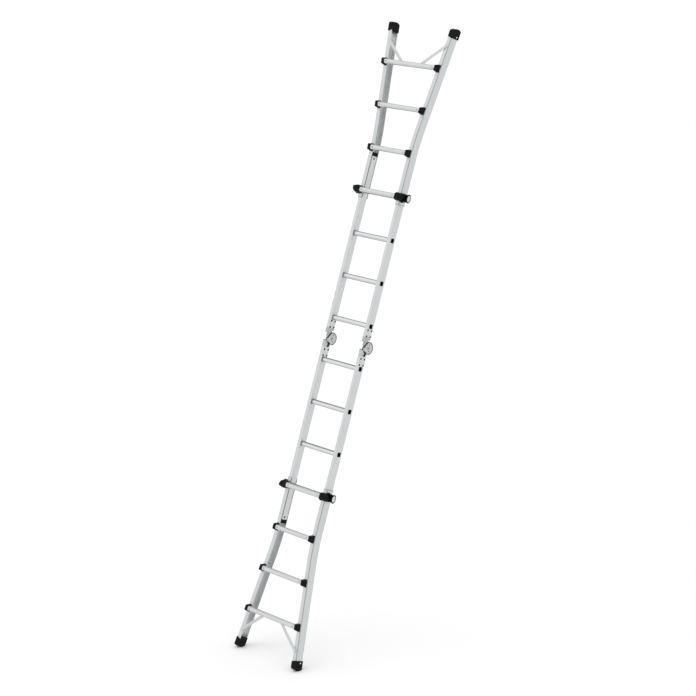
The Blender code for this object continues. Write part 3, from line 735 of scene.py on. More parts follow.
@dataclass(frozen=True)
class CastAlloy:
    """Smooth cast alloy of the hinges, with a faint orange-peel skin, rubbed faces and, on a cap, painted
    shade at its back.

    Attributes:
        name: The material's name.
        colour: Colour of the clean metal.
        roughness: Mean roughness.
        metallic: Share of metal in the look.
        edge_shade: How much darker the cheeks' narrow edges are.
        core_shade: How much darker the middle of a pin's head is.
        cap_back_shade: How much painted shade darkens the back of a cap against its front.
        rubbed_colour: Colour of rubbed faces.
        edge_colour: Colour of the cheeks' narrow edges.
        core_colour: Colour of the middle of a pin's head.
        cap_back_colour: Colour of that painted shade.
    """

    name: str
    colour: Colour
    roughness: float = 0.38
    metallic: float = 0.8
    edge_shade: float = 0.0
    core_shade: float = 0.0
    cap_back_shade: float = 0.0
    rubbed_colour: Colour = (0.74, 0.75, 0.75)
    edge_colour: Colour = (0.03, 0.03, 0.03)
    core_colour: Colour = (0.05, 0.05, 0.05)
    cap_back_colour: Colour = (0.20, 0.205, 0.21)

    def build(self) -> bpy.types.Material:
        """Make the material.

        Returns:
            The finished material.
        """
        desk = ShaderDesk(self.name)
        where = desk.coordinates()
        peel = desk.noise(where, 420.0, 3.0, 0.55)
        clouds = desk.noise(where, 18.0, 4.0, 0.6)
        rubbed = desk.noise(where, 95.0, 5.0, 0.7).step(0.58, 0.72) * clouds.step(0.4, 0.7)
        tone = desk.mix(0.6 * clouds + 0.4 * peel, scaled(self.colour, 0.80), scaled(self.colour, 1.10))
        place, facing = desk.ladder_axes(), desk.facing()
        back = place.y - STILES.pivot_y
        reach_squared = back * back + place.s * place.s
        if self.edge_shade:
            cheek = 1.0 - reach_squared.step(*(radius**2 for radius in ZONES.cheek_edge))
            flat = abs(facing.x).step(0.3, 0.7)
            fork = (0.0 - place.s).step(*ZONES.fork_low) * (0.0 - back).step(*ZONES.fork_front)
            edge = cheek * (1.0 - flat) * (1.0 - fork)
            tone = desk.mix(edge * self.edge_shade, tone, self.edge_colour)
        if self.core_shade:
            core = 1.0 - reach_squared.step(*(radius**2 for radius in ZONES.pin_core))
            tone = desk.mix(core * self.core_shade, tone, self.core_colour)
        # Painted shade towards the back of a knob's cap.
        if self.cap_back_shade:
            tone = desk.mix(place.y.step(*ZONES.cap_back) * self.cap_back_shade, tone, self.cap_back_colour)
        colour = desk.mix(rubbed * 0.4, tone, self.rubbed_colour)
        roughness = self.roughness - 0.05 + 0.12 * clouds + 0.08 * rubbed
        normal = desk.bump(peel, 0.18, 0.0003)
        return desk.surface(Base_Color=colour, Metallic=self.metallic, Roughness=roughness, Normal=normal)


@dataclass(frozen=True)
class MouldedPlastic:
    """Black moulded plastic with spark-eroded grain, faint flow marks and dust.

    Attributes:
        name: The material's name.
        colour: Colour of the clean plastic.
        roughness: Mean roughness.
        grain: Grains of the mould's texture in a metre.
        sheen: Strength of the surface reflection.
        dust_colour: Colour of the dust.
    """

    name: str
    colour: Colour = (0.0030, 0.0030, 0.0034)
    roughness: float = 0.46
    grain: float = 1500.0
    sheen: float = 0.08
    dust_colour: Colour = (0.045, 0.045, 0.046)

    def build(self) -> bpy.types.Material:
        """Make the material.

        Returns:
            The finished material.
        """
        desk = ShaderDesk(self.name)
        where = desk.coordinates()
        grain = desk.noise(where, self.grain)
        flow = desk.noise(where, 38.0, 3.0, 0.6)
        dust = desk.noise(where, 210.0, 4.0, 0.7).step(0.56, 0.74) * flow.step(0.4, 0.65)
        tone = desk.mix(0.5 * flow + 0.3 * grain, self.colour, scaled(self.colour, 2.2))
        sockets = {
            "Base_Color": desk.mix(dust * 0.12, tone, self.dust_colour),
            "Roughness": self.roughness - 0.05 + 0.10 * flow + 0.06 * grain + 0.1 * dust,
            "Normal": desk.bump(grain + 0.6 * flow, 0.22, 0.0003),
        }
        return desk.surface(Specular_IOR_Level=self.sheen, **sockets)


@dataclass(frozen=True)
class TreadRubber:
    """Matt black rubber of the shoes, with scuffed soles and a pebbled skin.

    Attributes:
        name: The material's name.
        colour: Colour of clean rubber.
        sheen: Strength of the surface reflection.
        pebbles: Pebbles of the skin in a metre.
        worn_colour: Colour of the scuffed sole.
    """

    name: str
    colour: Colour = (0.0026, 0.0026, 0.0028)
    sheen: float = 0.12
    pebbles: float = 620.0
    worn_colour: Colour = (0.030, 0.029, 0.028)

    def build(self) -> bpy.types.Material:
        """Make the material.

        Returns:
            The finished material.
        """
        desk = ShaderDesk(self.name)
        where = desk.coordinates()
        cells = {"Vector": where, "Scale": self.pebbles}
        pebbles = desk.node("ShaderNodeTexVoronoi", inputs=cells, output="Distance")
        clouds = desk.noise(where, 45.0, 4.0, 0.65)
        worn = abs(desk.ladder_axes().s).step(*ZONES.sole) * clouds.step(0.35, 0.75)
        tone = desk.mix(clouds, self.colour, scaled(self.colour, 2.0))
        sockets = {
            "Base_Color": desk.mix(worn * 0.40, tone, self.worn_colour),
            "Roughness": 0.58 + 0.14 * clouds + 0.12 * worn,
            "Normal": desk.bump(pebbles + clouds, 0.30, 0.0004),
        }
        return desk.surface(Specular_IOR_Level=self.sheen, **sockets)


class Finishes:
    """Every finish of the ladder, made once."""

    def __init__(self) -> None:
        """Make the materials."""
        # Channel: painted shade on corners, inside and at the mouth; painted light beside the shoes and on
        # the flanges' insides.
        self.channel = ExtrudedAluminium(
            "channel_aluminium",
            (0.594, 0.613, 0.614),
            Grain.ALONG_STILE,
            corner_shade=0.48,
            hollow_shade=0.02,
            end_shade=0.38,
            shoe_side_light=0.42,
            flange_light=1.0,
        ).build()
        # Tube: painted shade on corners and in the front flange's shadow, and a darker root.
        self.tube = ExtrudedAluminium(
            "tube_aluminium",
            (0.610, 0.620, 0.632),
            Grain.ALONG_STILE,
            0.42,
            corner_shade=0.08,
            track_shade=0.72,
            root_shade=0.28,
        ).build()
        # Inner rungs: painted shade on upper edges, undersides and lower parts.
        self.inner_rung = ExtrudedAluminium(
            "inner_rung_aluminium",
            (0.70, 0.705, 0.71),
            Grain.ALONG_RUNG,
            0.38,
            tread_shade=0.66,
            lower_shade=0.20,
        ).build()
        # Outer rungs: painted shade on upper edges, undersides and lower parts, and darker braces.
        self.outer_rung = ExtrudedAluminium(
            "outer_rung_aluminium",
            (0.64, 0.645, 0.65),
            Grain.ALONG_RUNG,
            0.38,
            tread_shade=0.26,
            lower_shade=0.12,
            brace_shade=0.09,
        ).build()
        # The ribs' darker metal is painted shade between and on them.
        self.rib = ExtrudedAluminium("shaded_rib_aluminium", (0.40, 0.405, 0.41), Grain.ALONG_RUNG, 0.46).build()
        self.hinge = CastAlloy("hinge_alloy", (0.54, 0.56, 0.555), edge_shade=0.8).build()
        self.collar = CastAlloy("hinge_collar_alloy", (0.45, 0.46, 0.46)).build()
        self.cover = CastAlloy("hinge_cover_alloy", (0.54, 0.56, 0.555), 0.34).build()
        self.pin = CastAlloy("zinc_pin", (0.44, 0.445, 0.45), 0.30, 1.0, core_shade=0.85).build()
        # Dark alloy: painted shadow on the hinge's rim pieces, the rung rivets' own colour.
        self.rim = CastAlloy("dark_rim_alloy", (0.085, 0.088, 0.088), 0.42).build()
        self.dark_rivet = CastAlloy("dark_rivet_steel", (0.030, 0.031, 0.033), 0.40, 0.9).build()
        self.bright_rivet = CastAlloy("bright_rivet_alloy", (0.76, 0.77, 0.77), 0.30, 0.9).build()
        # The cap carries painted shade towards its back.
        self.cap = CastAlloy("silver_cap", (0.72, 0.725, 0.73), 0.30, 0.55, cap_back_shade=0.55).build()
        self.plastic = MouldedPlastic("black_plastic").build()
        self.knob = MouldedPlastic("knob_plastic", (0.0026, 0.0026, 0.0030), 0.40, 1900.0).build()
        # Grey of the dark rings that paint the shade at the rung roots.
        self.rung_root_shade = MouldedPlastic("rung_root_shade_grey", (0.090, 0.090, 0.092)).build()
        self.rubber = TreadRubber("shoe_rubber").build()

    def for_node(self, node: str) -> bpy.types.Material:
        """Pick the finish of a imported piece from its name.

        Args:
            node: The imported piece's name.

        Returns:
            Its material.
        """
        rules = (
            ("outer_stile", self.channel),
            ("inner_stile", self.tube),
            ("bracket", self.plastic),
            ("knob", self.knob),
            ("housing", self.plastic),
            ("shoe", self.rubber),
            ("glide", self.plastic),
            ("pin", self.pin),
            ("lever", self.plastic),
            ("tongue", self.collar),
            ("hinge", self.hinge),
            ("inner_rung", self.inner_rung),
            ("rung", self.outer_rung),
        )
        return next(material for word, material in rules if word in node)


@dataclass
class Spot:
    """A place for a repeated small part.

    Attributes:
        place: Where it sits.
        facing: The way that its top looks.
        span: Scale of the part along its own axes.
    """

    place: Vector
    facing: Vector
    span: Vector = field(default_factory=lambda: Vector((1.0, 1.0, 1.0)))


def seed_mesh(name: str, spots: Sequence[Spot]) -> bpy.types.Mesh:
    """Make a mesh of loose points that carries facings and spans.

    Args:
        name: The mesh's name.
        spots: The places.

    Returns:
        The mesh.
    """
    mesh = bpy.data.meshes.new(name)
    mesh.from_pydata([spot.place for spot in spots], [], [])
    for label in ("facing", "span"):
        layer = mesh.attributes.new(label, "FLOAT_VECTOR", "POINT")
        for item, spot in zip(layer.data, spots):
            item.vector = getattr(spot, label)
    return mesh


def half_spot(
    half: Half, side: Side, place: Sequence[float], facing: Sequence[float], wide: float = 1.0
) -> Spot:
    """Carry a place and a facing from a half's own frame to the part's frame.

    Args:
        half: The half.
        side: The side.
        place: Place in (x, y, t).
        facing: Direction in (x, y, t).
        wide: Scale of the part across its facing.

    Returns:
        The spot.
    """
    turn = FRAME.turn(half, side)
    span = Vector((wide, wide, 1.0))
    return Spot(turn @ Vector(place), (turn.to_3x3() @ Vector(facing)).normalized(), span)


def both_sides(half: Half, rows: Sequence[tuple[Any, ...]]) -> list[Spot]:
    """Put the same rows of place, facing and scale on both sides of a half."""
    return [half_spot(half, side, *row) for side in Side for row in rows]


def mount(piece: bpy.types.Object, body: str) -> None:
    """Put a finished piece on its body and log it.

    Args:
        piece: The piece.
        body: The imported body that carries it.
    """
    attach(piece, body)
    LOG.info("%s rides on %s with %d faces", piece.name, body, len(piece.data.polygons))


class GeometryDesk(NodeDesk):
    """A geometry tree with named inputs, run on seed points to make plain pieces."""

    KINDS = {float: "NodeSocketFloat", int: "NodeSocketInt"}

    def __init__(self, name: str, sizes: dict[str, float | int]) -> None:
        """Start a tree with a geometry input, its sizes and a finish.

        Args:
            name: The tree's name.
            sizes: Named inputs with their values.
        """
        super().__init__(bpy.data.node_groups.new(name, "GeometryNodeTree"))
        sides = self.tree.interface
        sides.new_socket("Geometry", in_out="INPUT", socket_type="NodeSocketGeometry")
        sides.new_socket("Geometry", in_out="OUTPUT", socket_type="NodeSocketGeometry")
        self.keys: dict[str, str] = {}
        self.values: dict[str, Any] = dict(sizes)
        for label, value in sizes.items():
            kind = self.KINDS[type(value)]
            self.keys[label] = sides.new_socket(label, in_out="INPUT", socket_type=kind).identifier
        finish = sides.new_socket("Finish", in_out="INPUT", socket_type="NodeSocketMaterial")
        self.keys["Finish"] = finish.identifier
        self.entry = self.tree.nodes.new("NodeGroupInput")

    def size(self, label: str) -> Wire:
        """One of the tree's inputs as a wire."""
        return Wire(self, self.entry.outputs[label])

    @property
    def wires(self) -> list[Wire]:
        """The tree's sizes as wires, in the order in which they were named."""
        return [self.size(label) for label in self.values]

    def carried(self, label: str) -> Wire:
        """A vector that each seed point carries."""
        settings = {"data_type": "FLOAT_VECTOR"}
        return self.node("GeometryNodeInputNamedAttribute", settings, {"Name": label})

    def moved(self, geometry: Wire, **sockets: Any) -> Wire:
        """Move, turn or scale a shape, by the sockets of Transform Geometry."""
        return self.node("GeometryNodeTransform", inputs={"Geometry": geometry, **sockets})

    def joined(self, *shapes: Wire) -> Wire:
        """Join shapes into one geometry.

        Args:
            *shapes: The shapes, in the order in which they are kept.

        Returns:
            The geometry.
        """
        node = self.raw("GeometryNodeJoinGeometry")
        for shape in reversed(shapes):
            self.tree.links.new(shape.socket, node.inputs[0])
        return Wire(self, node.outputs[0])

    def rod(self, sides: Number, radius: Number, length: Number) -> Wire:
        """A round bar along Z."""
        inputs = {"Vertices": sides, "Radius": radius, "Depth": length}
        return self.node("GeometryNodeMeshCylinder", inputs=inputs)

    def repeated(self, shape: Wire, points: Wire, **sockets: Any) -> Wire:
        """Put a shape on every point, by the sockets of Instance on Points."""
        inputs = {"Points": points, "Instance": shape, **sockets}
        return self.node("GeometryNodeInstanceOnPoints", inputs=inputs)

    def close(self, shape: Wire, smooth: bool = True) -> None:
        """Put a shape on every seed point and end the tree in Realize Instances and Set Material.

        Args:
            shape: The shape, which is turned to each point's facing and scaled to its span.
            smooth: Whether the faces are shaded smooth.
        """
        upright = {"Vector": self.carried("facing")}
        turn = self.node("FunctionNodeAlignRotationToVector", {"axis": "Z"}, upright)
        stamped = self.repeated(shape, self.size("Geometry"), Rotation=turn, Scale=self.carried("span"))
        real = self.node("GeometryNodeRealizeInstances", inputs={"Geometry": stamped})
        shaded = self.node("GeometryNodeSetShadeSmooth", inputs={"Geometry": real, "Shade Smooth": smooth})
        finish = {"Geometry": shaded, "Material": self.size("Finish")}
        self.raw("NodeGroupOutput", inputs={"Geometry": self.node("GeometryNodeSetMaterial", inputs=finish)})

    def lay(
        self, name: str, spots: Sequence[Spot], finish: bpy.types.Material, body: str, slot: str
    ) -> None:
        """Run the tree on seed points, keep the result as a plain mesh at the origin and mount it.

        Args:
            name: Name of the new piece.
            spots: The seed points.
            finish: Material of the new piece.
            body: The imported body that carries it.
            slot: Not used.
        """
        piece = bpy.data.objects.new(name, seed_mesh(name, spots))
        bpy.context.scene.collection.objects.link(piece)
        step = piece.modifiers.new("shape", "NODES")
        step.node_group = self.tree
        for label, value in {**self.values, "Finish": finish}.items():
            step[self.keys[label]] = value
        graph = bpy.context.evaluated_depsgraph_get()
        mesh = bpy.data.meshes.new_from_object(piece.evaluated_get(graph))
        piece.modifiers.remove(step)
        piece.data = mesh
        mesh.name = name
        mount(piece, body)


def oval(depth: float, height: float, count: int, first: float = 0.0) -> Outline:
    """Points of an oval in (y, t).

    Args:
        depth: Width along Y.
        height: Width along T.
        count: Number of points.
        first: Direction of the first point, in radians.

    Returns:
        The points in order.
    """
    turns = [first + 2 * math.pi * i / count for i in range(count)]
    return [(depth / 2 * math.cos(a), height / 2 * math.sin(a)) for a in turns]


@dataclass(frozen=True)
class RoundedOutline:
    """A rounded rectangle in (y, t).

    Attributes:
        depth: Width along Y.
        height: Width along T.
        corner: Corner radius.
        steps: Steps in each corner.
    """

    depth: float
    height: float
    corner: float
    steps: int = 4

    def points(self, grow: float = 0.0) -> Outline:
        """Points of the outline.

        Args:
            grow: How far the outline is moved outwards.

        Returns:
            The points in order.
        """
        depth, height, radius = self.depth + 2 * grow, self.height + 2 * grow, self.corner + grow
        points = []
        signs = ((1, 1), (-1, 1), (-1, -1), (1, -1))
        for corner, (sign_y, sign_t) in enumerate(signs):
            for i in range(self.steps + 1):
                angle = math.radians(90 * corner + 90 * i / self.steps)
                y = sign_y * (depth / 2 - radius) + radius * math.cos(angle)
                t = sign_t * (height / 2 - radius) + radius * math.sin(angle)
                points.append((y, t))
        return points


def skin(target: bmesh.types.BMesh, rings: Sequence[Ring], turn: Matrix, closed: bool = False) -> None:
    """Skin rings into a body, with caps unless the last ring joins the first.

    Args:
        target: The mesh that takes the body.
        rings: Rings of equal count.
        turn: Where the body goes.
        closed: Whether the last ring joins the first.
    """
    rows = [[target.verts.new(turn @ point) for point in ring] for ring in rings]
    pairs = list(zip(rows, rows[1:]))
    made = []
    if closed:
        pairs.append((rows[-1], rows[0]))
    else:
        made += [target.faces.new(rows[0]), target.faces.new(rows[-1])]
    count = len(rings[0])
    for low, high in pairs:
        for i in range(count):
            j = (i + 1) % count
            made.append(target.faces.new((low[i], low[j], high[j], high[i])))
    bmesh.ops.recalc_face_normals(target, faces=made)


def finish_piece(name: str, bm: bmesh.types.BMesh, material: bpy.types.Material) -> bpy.types.Object:
    """Turn a worked mesh into an object at the origin.

    Args:
        name: The piece's name.
        bm: The mesh, which is freed.
        material: Its finish.

    Returns:
        The piece.
    """
    mesh = bpy.data.meshes.new(name)
    bm.to_mesh(mesh)
    bm.free()
    mesh.shade_smooth()
    mesh.set_sharp_from_angle(angle=math.radians(CREASE_DEG))
    mesh.materials.append(material)
    piece = bpy.data.objects.new(name, mesh)
    bpy.context.scene.collection.objects.link(piece)
    return piece


@dataclass
class Dress:
    """Small parts of one kind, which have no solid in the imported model.

    Attributes:
        finishes: The ladder's finishes.
    """

    finishes: Finishes

    def build(self) -> None:
        """Make the parts and mount them on their bodies."""
        raise NotImplementedError

    def mirror(
        self,
        name: str,
        bodies: Sequence[Sequence[Ring]],
        finish: bpy.types.Material,
        section: str,
        closed: bool = False,
    ) -> None:
        """Skin the same plastic parts on both sides of both halves, as one piece for each half.

        Args:
            name: Name of a piece after its half's.
            bodies: Rings of each part, in a half's own frame.
            finish: Material of the pieces.
            section: The half's section that carries a piece.
            closed: Whether a part's last ring joins its first.
        """
        for half in Half:
            bm = bmesh.new()
            for side in Side:
                for rings in bodies:
                    skin(bm, rings, FRAME.turn(half, side), closed)
            piece = finish_piece(f"{half.label}_{name}", bm, finish)
            mount(piece, f"{half.label}_{section}")


@dataclass
class RungRibs(Dress):
    """Anti-slip ribs along the upper and lower faces of every rung.

    Attributes:
        radius: Radius of a rib, which is half sunk in the rung.
        rib_pitch: Distance between ribs.
        inner_ribs: Ribs on each face of an inner rung.
        outer_ribs: Ribs on each face of an outer rung.
        inner_reach: Half the ribbed length of an inner rung.
        outer_clear: Bare length at each end of an outer rung.
    """

    radius: float = 0.0007
    rib_pitch: float = 0.0030
    inner_ribs: int = 5
    outer_ribs: int = 4
    inner_reach: float = 0.144
    outer_clear: float = 0.021

    def tree(self, count: int) -> GeometryDesk:
        """Build the tree that lays a row of ribs at each seed point.

        Args:
            count: Ribs in a row.

        Returns:
            The tree.
        """
        sizes = {"Rib Radius": self.radius, "Rib Pitch": self.rib_pitch, "Ribs": count, "Sides": 8}
        desk = GeometryDesk(f"rung_ribs_{count}", sizes)
        radius, pitch, ribs, sides = desk.wires
        lying = desk.moved(desk.rod(sides, radius, 1.0), Rotation=Euler((0.0, math.pi / 2, 0.0)))
        row = desk.node("GeometryNodeMeshLine", inputs={"Count": ribs, "Offset": desk.join(y=pitch)})
        centred = desk.moved(row, Translation=desk.join(y=(ribs - 1.0) * pitch * -0.5))
        desk.close(desk.repeated(lying, centred))
        return desk

    def rows(self, half: Half, t: float, y: float, reach: float) -> list[Spot]:
        """Seed points of one rung: its upper face and its lower face.

        Args:
            half: The half that the rung belongs to.
            t: The rung's distance from the hinge line.
            y: The rung's middle, along Y.
            reach: Half the ribbed length.

        Returns:
            The points.
        """
        spots = []
        for sense in (-1, 1):
            place = (0.0, y, t + sense * STILES.rung_height / 2)
            spot = half_spot(half, Side.RIGHT, place, (0.0, 0.0, sense))
            spot.span = Vector((2 * reach, 1.0, 1.0))
            spots.append(spot)
        return spots

    def build(self) -> None:
        """Make the ribs of the four sections."""
        inner_tree, outer_tree = self.tree(self.inner_ribs), self.tree(self.outer_ribs)
        for half in Half:
            inner, outer = [], []
            for t in STILES.inner_rungs:
                inner += self.rows(half, t, 0.0, self.inner_reach)
            for t in STILES.outer_rungs:
                reach = STILES.channel_middle(t) - self.outer_clear
                outer += self.rows(half, t, STILES.outer_rung_y, reach)
            for section, tree, spots in (("inner", inner_tree, inner), ("outer", outer_tree, outer)):
                body = f"{half.label}_{section}"
                # The ribs' darker finish is painted shade.
                tree.lay(f"{body}_rung_ribs", spots, self.finishes.rib, body, "rung")


@dataclass
class RungBushes(Dress):
    """Black bushes in the ends of the inner rungs, with the round socket that takes the lock bolt.

    Attributes:
        face: Outline of the lip over a rung's end.
        bevel: Bevel of the lip.
        lip: Thickness of the lip.
        proud: How far a rung's end stands out of the stile.
        plug: Outline of the plug inside the rung.
        plug_length: Length of the plug.
        socket: Radius of the socket.
        socket_bevel: Bevel of the socket's edge.
        socket_floor: Thickness of the plug behind the socket.
    """

    face: RoundedOutline = RoundedOutline(0.0276, 0.0296, 0.0055)
    bevel: float = 0.0003
    lip: float = 0.00045
    proud: float = 0.0003
    plug: RoundedOutline = RoundedOutline(0.0238, 0.0258, 0.0040)
    plug_length: float = 0.016
    socket: float = 0.0090
    socket_bevel: float = 0.0008
    socket_floor: float = 0.002

    def build(self) -> None:
        """Make the bushes of both inner sections."""
        face, plug = self.face.points(), self.plug.points()
        hole = oval(2.0, 2.0, len(face), math.atan2(face[0][1], face[0][0]))
        end = STILES.inner_out + self.proud + SEAT_GAP
        top, bottom = end + self.lip, end - self.plug_length
        profile = (
            (bottom, plug, 1.0),
            (end, plug, 1.0),
            (end, face, 1.0),
            (top - self.lip / 3, face, 1.0),
            (top, self.face.points(-self.bevel), 1.0),
            (top, hole, self.socket + self.socket_bevel),
            (top - self.socket_bevel, hole, self.socket),
            (bottom + self.socket_floor, hole, self.socket),
        )
        bodies = [
            [[Vector((x, y * k, t + v * k)) for y, v in loop] for x, loop, k in profile]
            for t in STILES.inner_rungs
        ]
        self.mirror("rung_bushes", bodies, self.finishes.plastic, "inner")


@dataclass
class RungRootShadeRings(Dress):
    """Thin dark rings round the roots of the inner rungs, on the stiles' facing sides, that paint the shade
    at each root.

    Attributes:
        pad: Outline of a ring.
        hole: Outline of its hole.
        thickness: Thickness of a ring.
        bevel: Bevel of a ring's edge.
    """

    pad: RoundedOutline = RoundedOutline(0.0410, 0.0340, 0.0085)
    hole: RoundedOutline = RoundedOutline(0.0300, 0.0314, 0.0070)
    thickness: float = 0.0010
    bevel: float = 0.0004

    def build(self) -> None:
        """Make the shade rings of both inner sections."""
        pad, lip, hole = self.pad.points(), self.pad.points(-self.bevel), self.hole.points()
        back = STILES.inner_in - SEAT_GAP
        front = back - self.thickness
        profile = ((back, hole), (back, pad), (front + self.bevel, pad), (front, lip), (front, hole))
        bodies = [
            [[Vector((x, y, t + v)) for y, v in loop] for x, loop in profile] for t in STILES.inner_rungs
        ]
        self.mirror("rung_root_shade_rings", bodies, self.finishes.rung_root_shade, "inner", closed=True)


@dataclass
class RivetRows(Dress):
    """Rivets of the hinges, tangs, glides, shoes, braces, rungs and lock housings.

    Attributes:
        radius: Radius of a tang or glide rivet's head.
        rise: Height of a rivet's dome.
        skirt: Height of the skirt under a dome as a share of the dome's, half of it sunk.
        dome: Radius of a dome as a share of the head's.
        small: Radius of the cover, brace, rung and housing rivets as a share of a tang rivet's.
        medium: Radius of the shoe rivets as a share of a tang rivet's.
        tang_rows: Distances from the hinge line of the tang rivets.
        tang_offset: Distance of the tang rivets from the stile's middle.
        cover_spots: Places of the hinge covers' rivets in (y, t).
        glide_t: Distance from the hinge line of the glide's rivet.
        shoe_t: Distance from the hinge line of the shoe's rivet.
        shoe_y: Place of the shoe's rivet towards the back.
        shoe_wall: Thickness of the shoe over the channel.
        rung_x: Place of the lock rung's rivets along X.
        brace_drop: Distance of a brace's foot past the end rung.
        brace_rise: Height of a brace's foot over the channel's front.
        brace_in: Distance of its rivet from the flange's middle, towards the ladder's middle.
        housing_out: Thickness of the housing over the channel's web.
        housing_y: Place of the housing's rivets towards the back.
        housing_t: Distance of the housing's rivets from the lock's axis.
    """

    radius: float = 0.0064
    rise: float = 0.0009
    skirt: float = 0.7
    dome: float = 0.86
    small: float = 0.55
    medium: float = 0.80
    tang_rows: tuple[float, ...] = (0.0735, 0.1135)
    tang_offset: float = 0.0165
    cover_spots: Outline = ((0.0360, -0.0225), (0.0400, 0.0175))
    glide_t: float = 1.190
    shoe_t: float = 2.035
    shoe_y: float = 0.012
    shoe_wall: float = 0.0030
    rung_x: float = 0.1385
    brace_drop: float = 0.144
    brace_rise: float = 0.0055
    brace_in: float = 0.0062
    housing_out: float = 0.014
    housing_y: float = 0.0160
    housing_t: float = 0.0205

    def tree(self) -> GeometryDesk:
        """Build the tree that stamps a domed head on a thin skirt at each seed point.

        Returns:
            The tree.
        """
        sizes = {"Head Radius": self.radius, "Head Rise": self.rise, "Sides": 16}
        desk = GeometryDesk("rivet_heads", sizes)
        radius, rise, sides = desk.wires
        skirt = desk.rod(sides, radius, rise * self.skirt)
        ball = {"Segments": sides, "Rings": 8, "Radius": 1.0}
        wide = radius * self.dome
        scale = desk.join(wide, wide, rise)
        dome = desk.moved(desk.node("GeometryNodeMeshUVSphere", inputs=ball), Scale=scale)
        desk.close(desk.joined(skirt, dome))
        return desk

    def dark(self, half: Half) -> list[Spot]:
        """Dark rivets of an inner section: hinge tangs, glides and, on the lower half, hinge covers.

        Args:
            half: The half.

        Returns:
            Their places.
        """
        rows = []
        for x, look in ((STILES.inner_out, 1), (STILES.inner_in, -1)):
            facing = (look, 0, 0)
            for t in self.tang_rows:
                rows += [((x, y, t), facing) for y in (-self.tang_offset, self.tang_offset)]
            rows.append(((x, 0.0, self.glide_t), facing))
            if half is Half.LOWER:
                x_cover = STILES.inner_middle + look * HingeDress.field_height
                rows += [((x_cover, y, t), facing, self.small) for y, t in self.cover_spots]
        return both_sides(half, rows)

    def bright(self, half: Half) -> list[Spot]:
        """Bright rivets of an outer section: shoes, brace feet and lock housings.

        Args:
            half: The half.

        Returns:
            Their places.
        """
        slope = math.radians(STILES.flare_deg)
        x_shoe = STILES.channel_middle(self.shoe_t) + (STILES.flange / 2 / math.cos(slope) + self.shoe_wall)
        shoe_facing = (math.cos(slope), 0.0, -math.sin(slope))
        t_foot = STILES.outer_rungs[-1] + self.brace_drop
        foot = (STILES.channel_middle(t_foot) - self.brace_in, -(STILES.half_depth + self.brace_rise), t_foot)
        rows = [
            ((x_shoe, self.shoe_y, self.shoe_t), shoe_facing, self.medium),
            (foot, (0, -1, 0), self.small),
        ]
        x_housing = STILES.web_out + self.housing_out
        for t in (-self.housing_t, self.housing_t):
            rows.append(((x_housing, self.housing_y, STILES.lock + t), (1, 0, 0), self.small))
        return both_sides(half, rows)

    def grey(self, half: Half) -> list[Spot]:
        """Grey rivets on the fronts of the outer rungs, beside their brackets.

        Args:
            half: The half.

        Returns:
            Their places.
        """
        rows = []
        for t in STILES.outer_rungs:
            x = self.rung_x + STILES.channel_middle(t) - STILES.channel_middle(STILES.lock)
            rows.append(((x, STILES.outer_rung_front, t), (0, -1, 0), self.small))
        return both_sides(half, rows)

    def build(self) -> None:
        """Make the rivets of the four sections."""
        tree = self.tree()
        for half in Half:
            rows = (
                ("tang_rivets", self.dark(half), self.finishes.dark_rivet, "inner"),
                ("outer_rivets", self.bright(half), self.finishes.bright_rivet, "outer"),
                ("rung_rivets", self.grey(half), self.finishes.rim, "outer"),
            )
            for label, spots, finish, section in rows:
                tree.lay(f"{half.label}_{label}", spots, finish, f"{half.label}_{section}", "pin")


@dataclass
class HousingScrews(Dress):
    """Cross-recessed screws that hold the lock housings and the rung brackets.

    Attributes:
        radius: Radius of a screw's head.
        rise: Height of a screw's head.
        recess: Depth of the cross.
        top: Radius of the head's top as a share of its foot's.
        arm_length: Length of the cross as a share of the head's radius.
        arm_width: Width of the cross as a share of the head's radius.
        front_in: Distance of the housing's front screws from the web's outer face, inwards.
        front_t: Distance of those screws from the lock's axis.
        boss: Place of the screw on the housing's side, from the web's outer face, the stile's middle
            and the lock's axis.
    """

    radius: float = 0.0036
    rise: float = 0.0011
    recess: float = 0.0009
    top: float = 0.82
    arm_length: float = 1.15
    arm_width: float = 0.30
    front_in: float = 0.009
    front_t: float = 0.0205
    boss: tuple[float, float, float] = (0.0135, -0.0123, -0.026)

    def tree(self) -> GeometryDesk:
        """Build the tree that cuts a cross in a low head and stamps it at each seed point.

        Returns:
            The tree.
        """
        sizes = {"Head Radius": self.radius, "Head Rise": self.rise, "Recess": self.recess, "Sides": 14}
        desk = GeometryDesk("cross_screws", sizes)
        radius, rise, recess, sides = desk.wires
        cone = {"Vertices": sides, "Radius Top": radius * self.top, "Radius Bottom": radius, "Depth": rise}
        head = desk.node("GeometryNodeMeshCone", inputs=cone)
        cut = desk.raw("GeometryNodeMeshBoolean", {"operation": "DIFFERENCE", "solver": "EXACT"}, {0: head})
        for wide, deep in ((self.arm_length, self.arm_width), (self.arm_width, self.arm_length)):
            size = desk.join(radius * wide, radius * deep, recess * 2.0)
            arm = desk.node("GeometryNodeMeshCube", inputs={"Size": size})
            desk.tree.links.new(desk.moved(arm, Translation=desk.join(z=rise)).socket, cut.inputs[1])
        desk.close(Wire(desk, cut.outputs[0]), smooth=False)
        return desk

    def build(self) -> None:
        """Make the screws of both outer sections."""
        tree = self.tree()
        ahead, front = (0, -1, 0), STILES.housing_front
        x_front = STILES.web_out - self.front_in
        rows = [((x_front, front, STILES.lock + t), ahead) for t in (-self.front_t, self.front_t)]
        rows.append((Vector((STILES.web_out, 0.0, STILES.lock)) + Vector(self.boss), (1, 0, 0)))
        rows += [((STILES.channel_middle(t), front, t), ahead) for t in STILES.outer_rungs[1:]]
        for half in Half:
            spots = both_sides(half, rows)
            tree.lay(f"{half.label}_screws", spots, self.finishes.dark_rivet, f"{half.label}_outer", "pin")


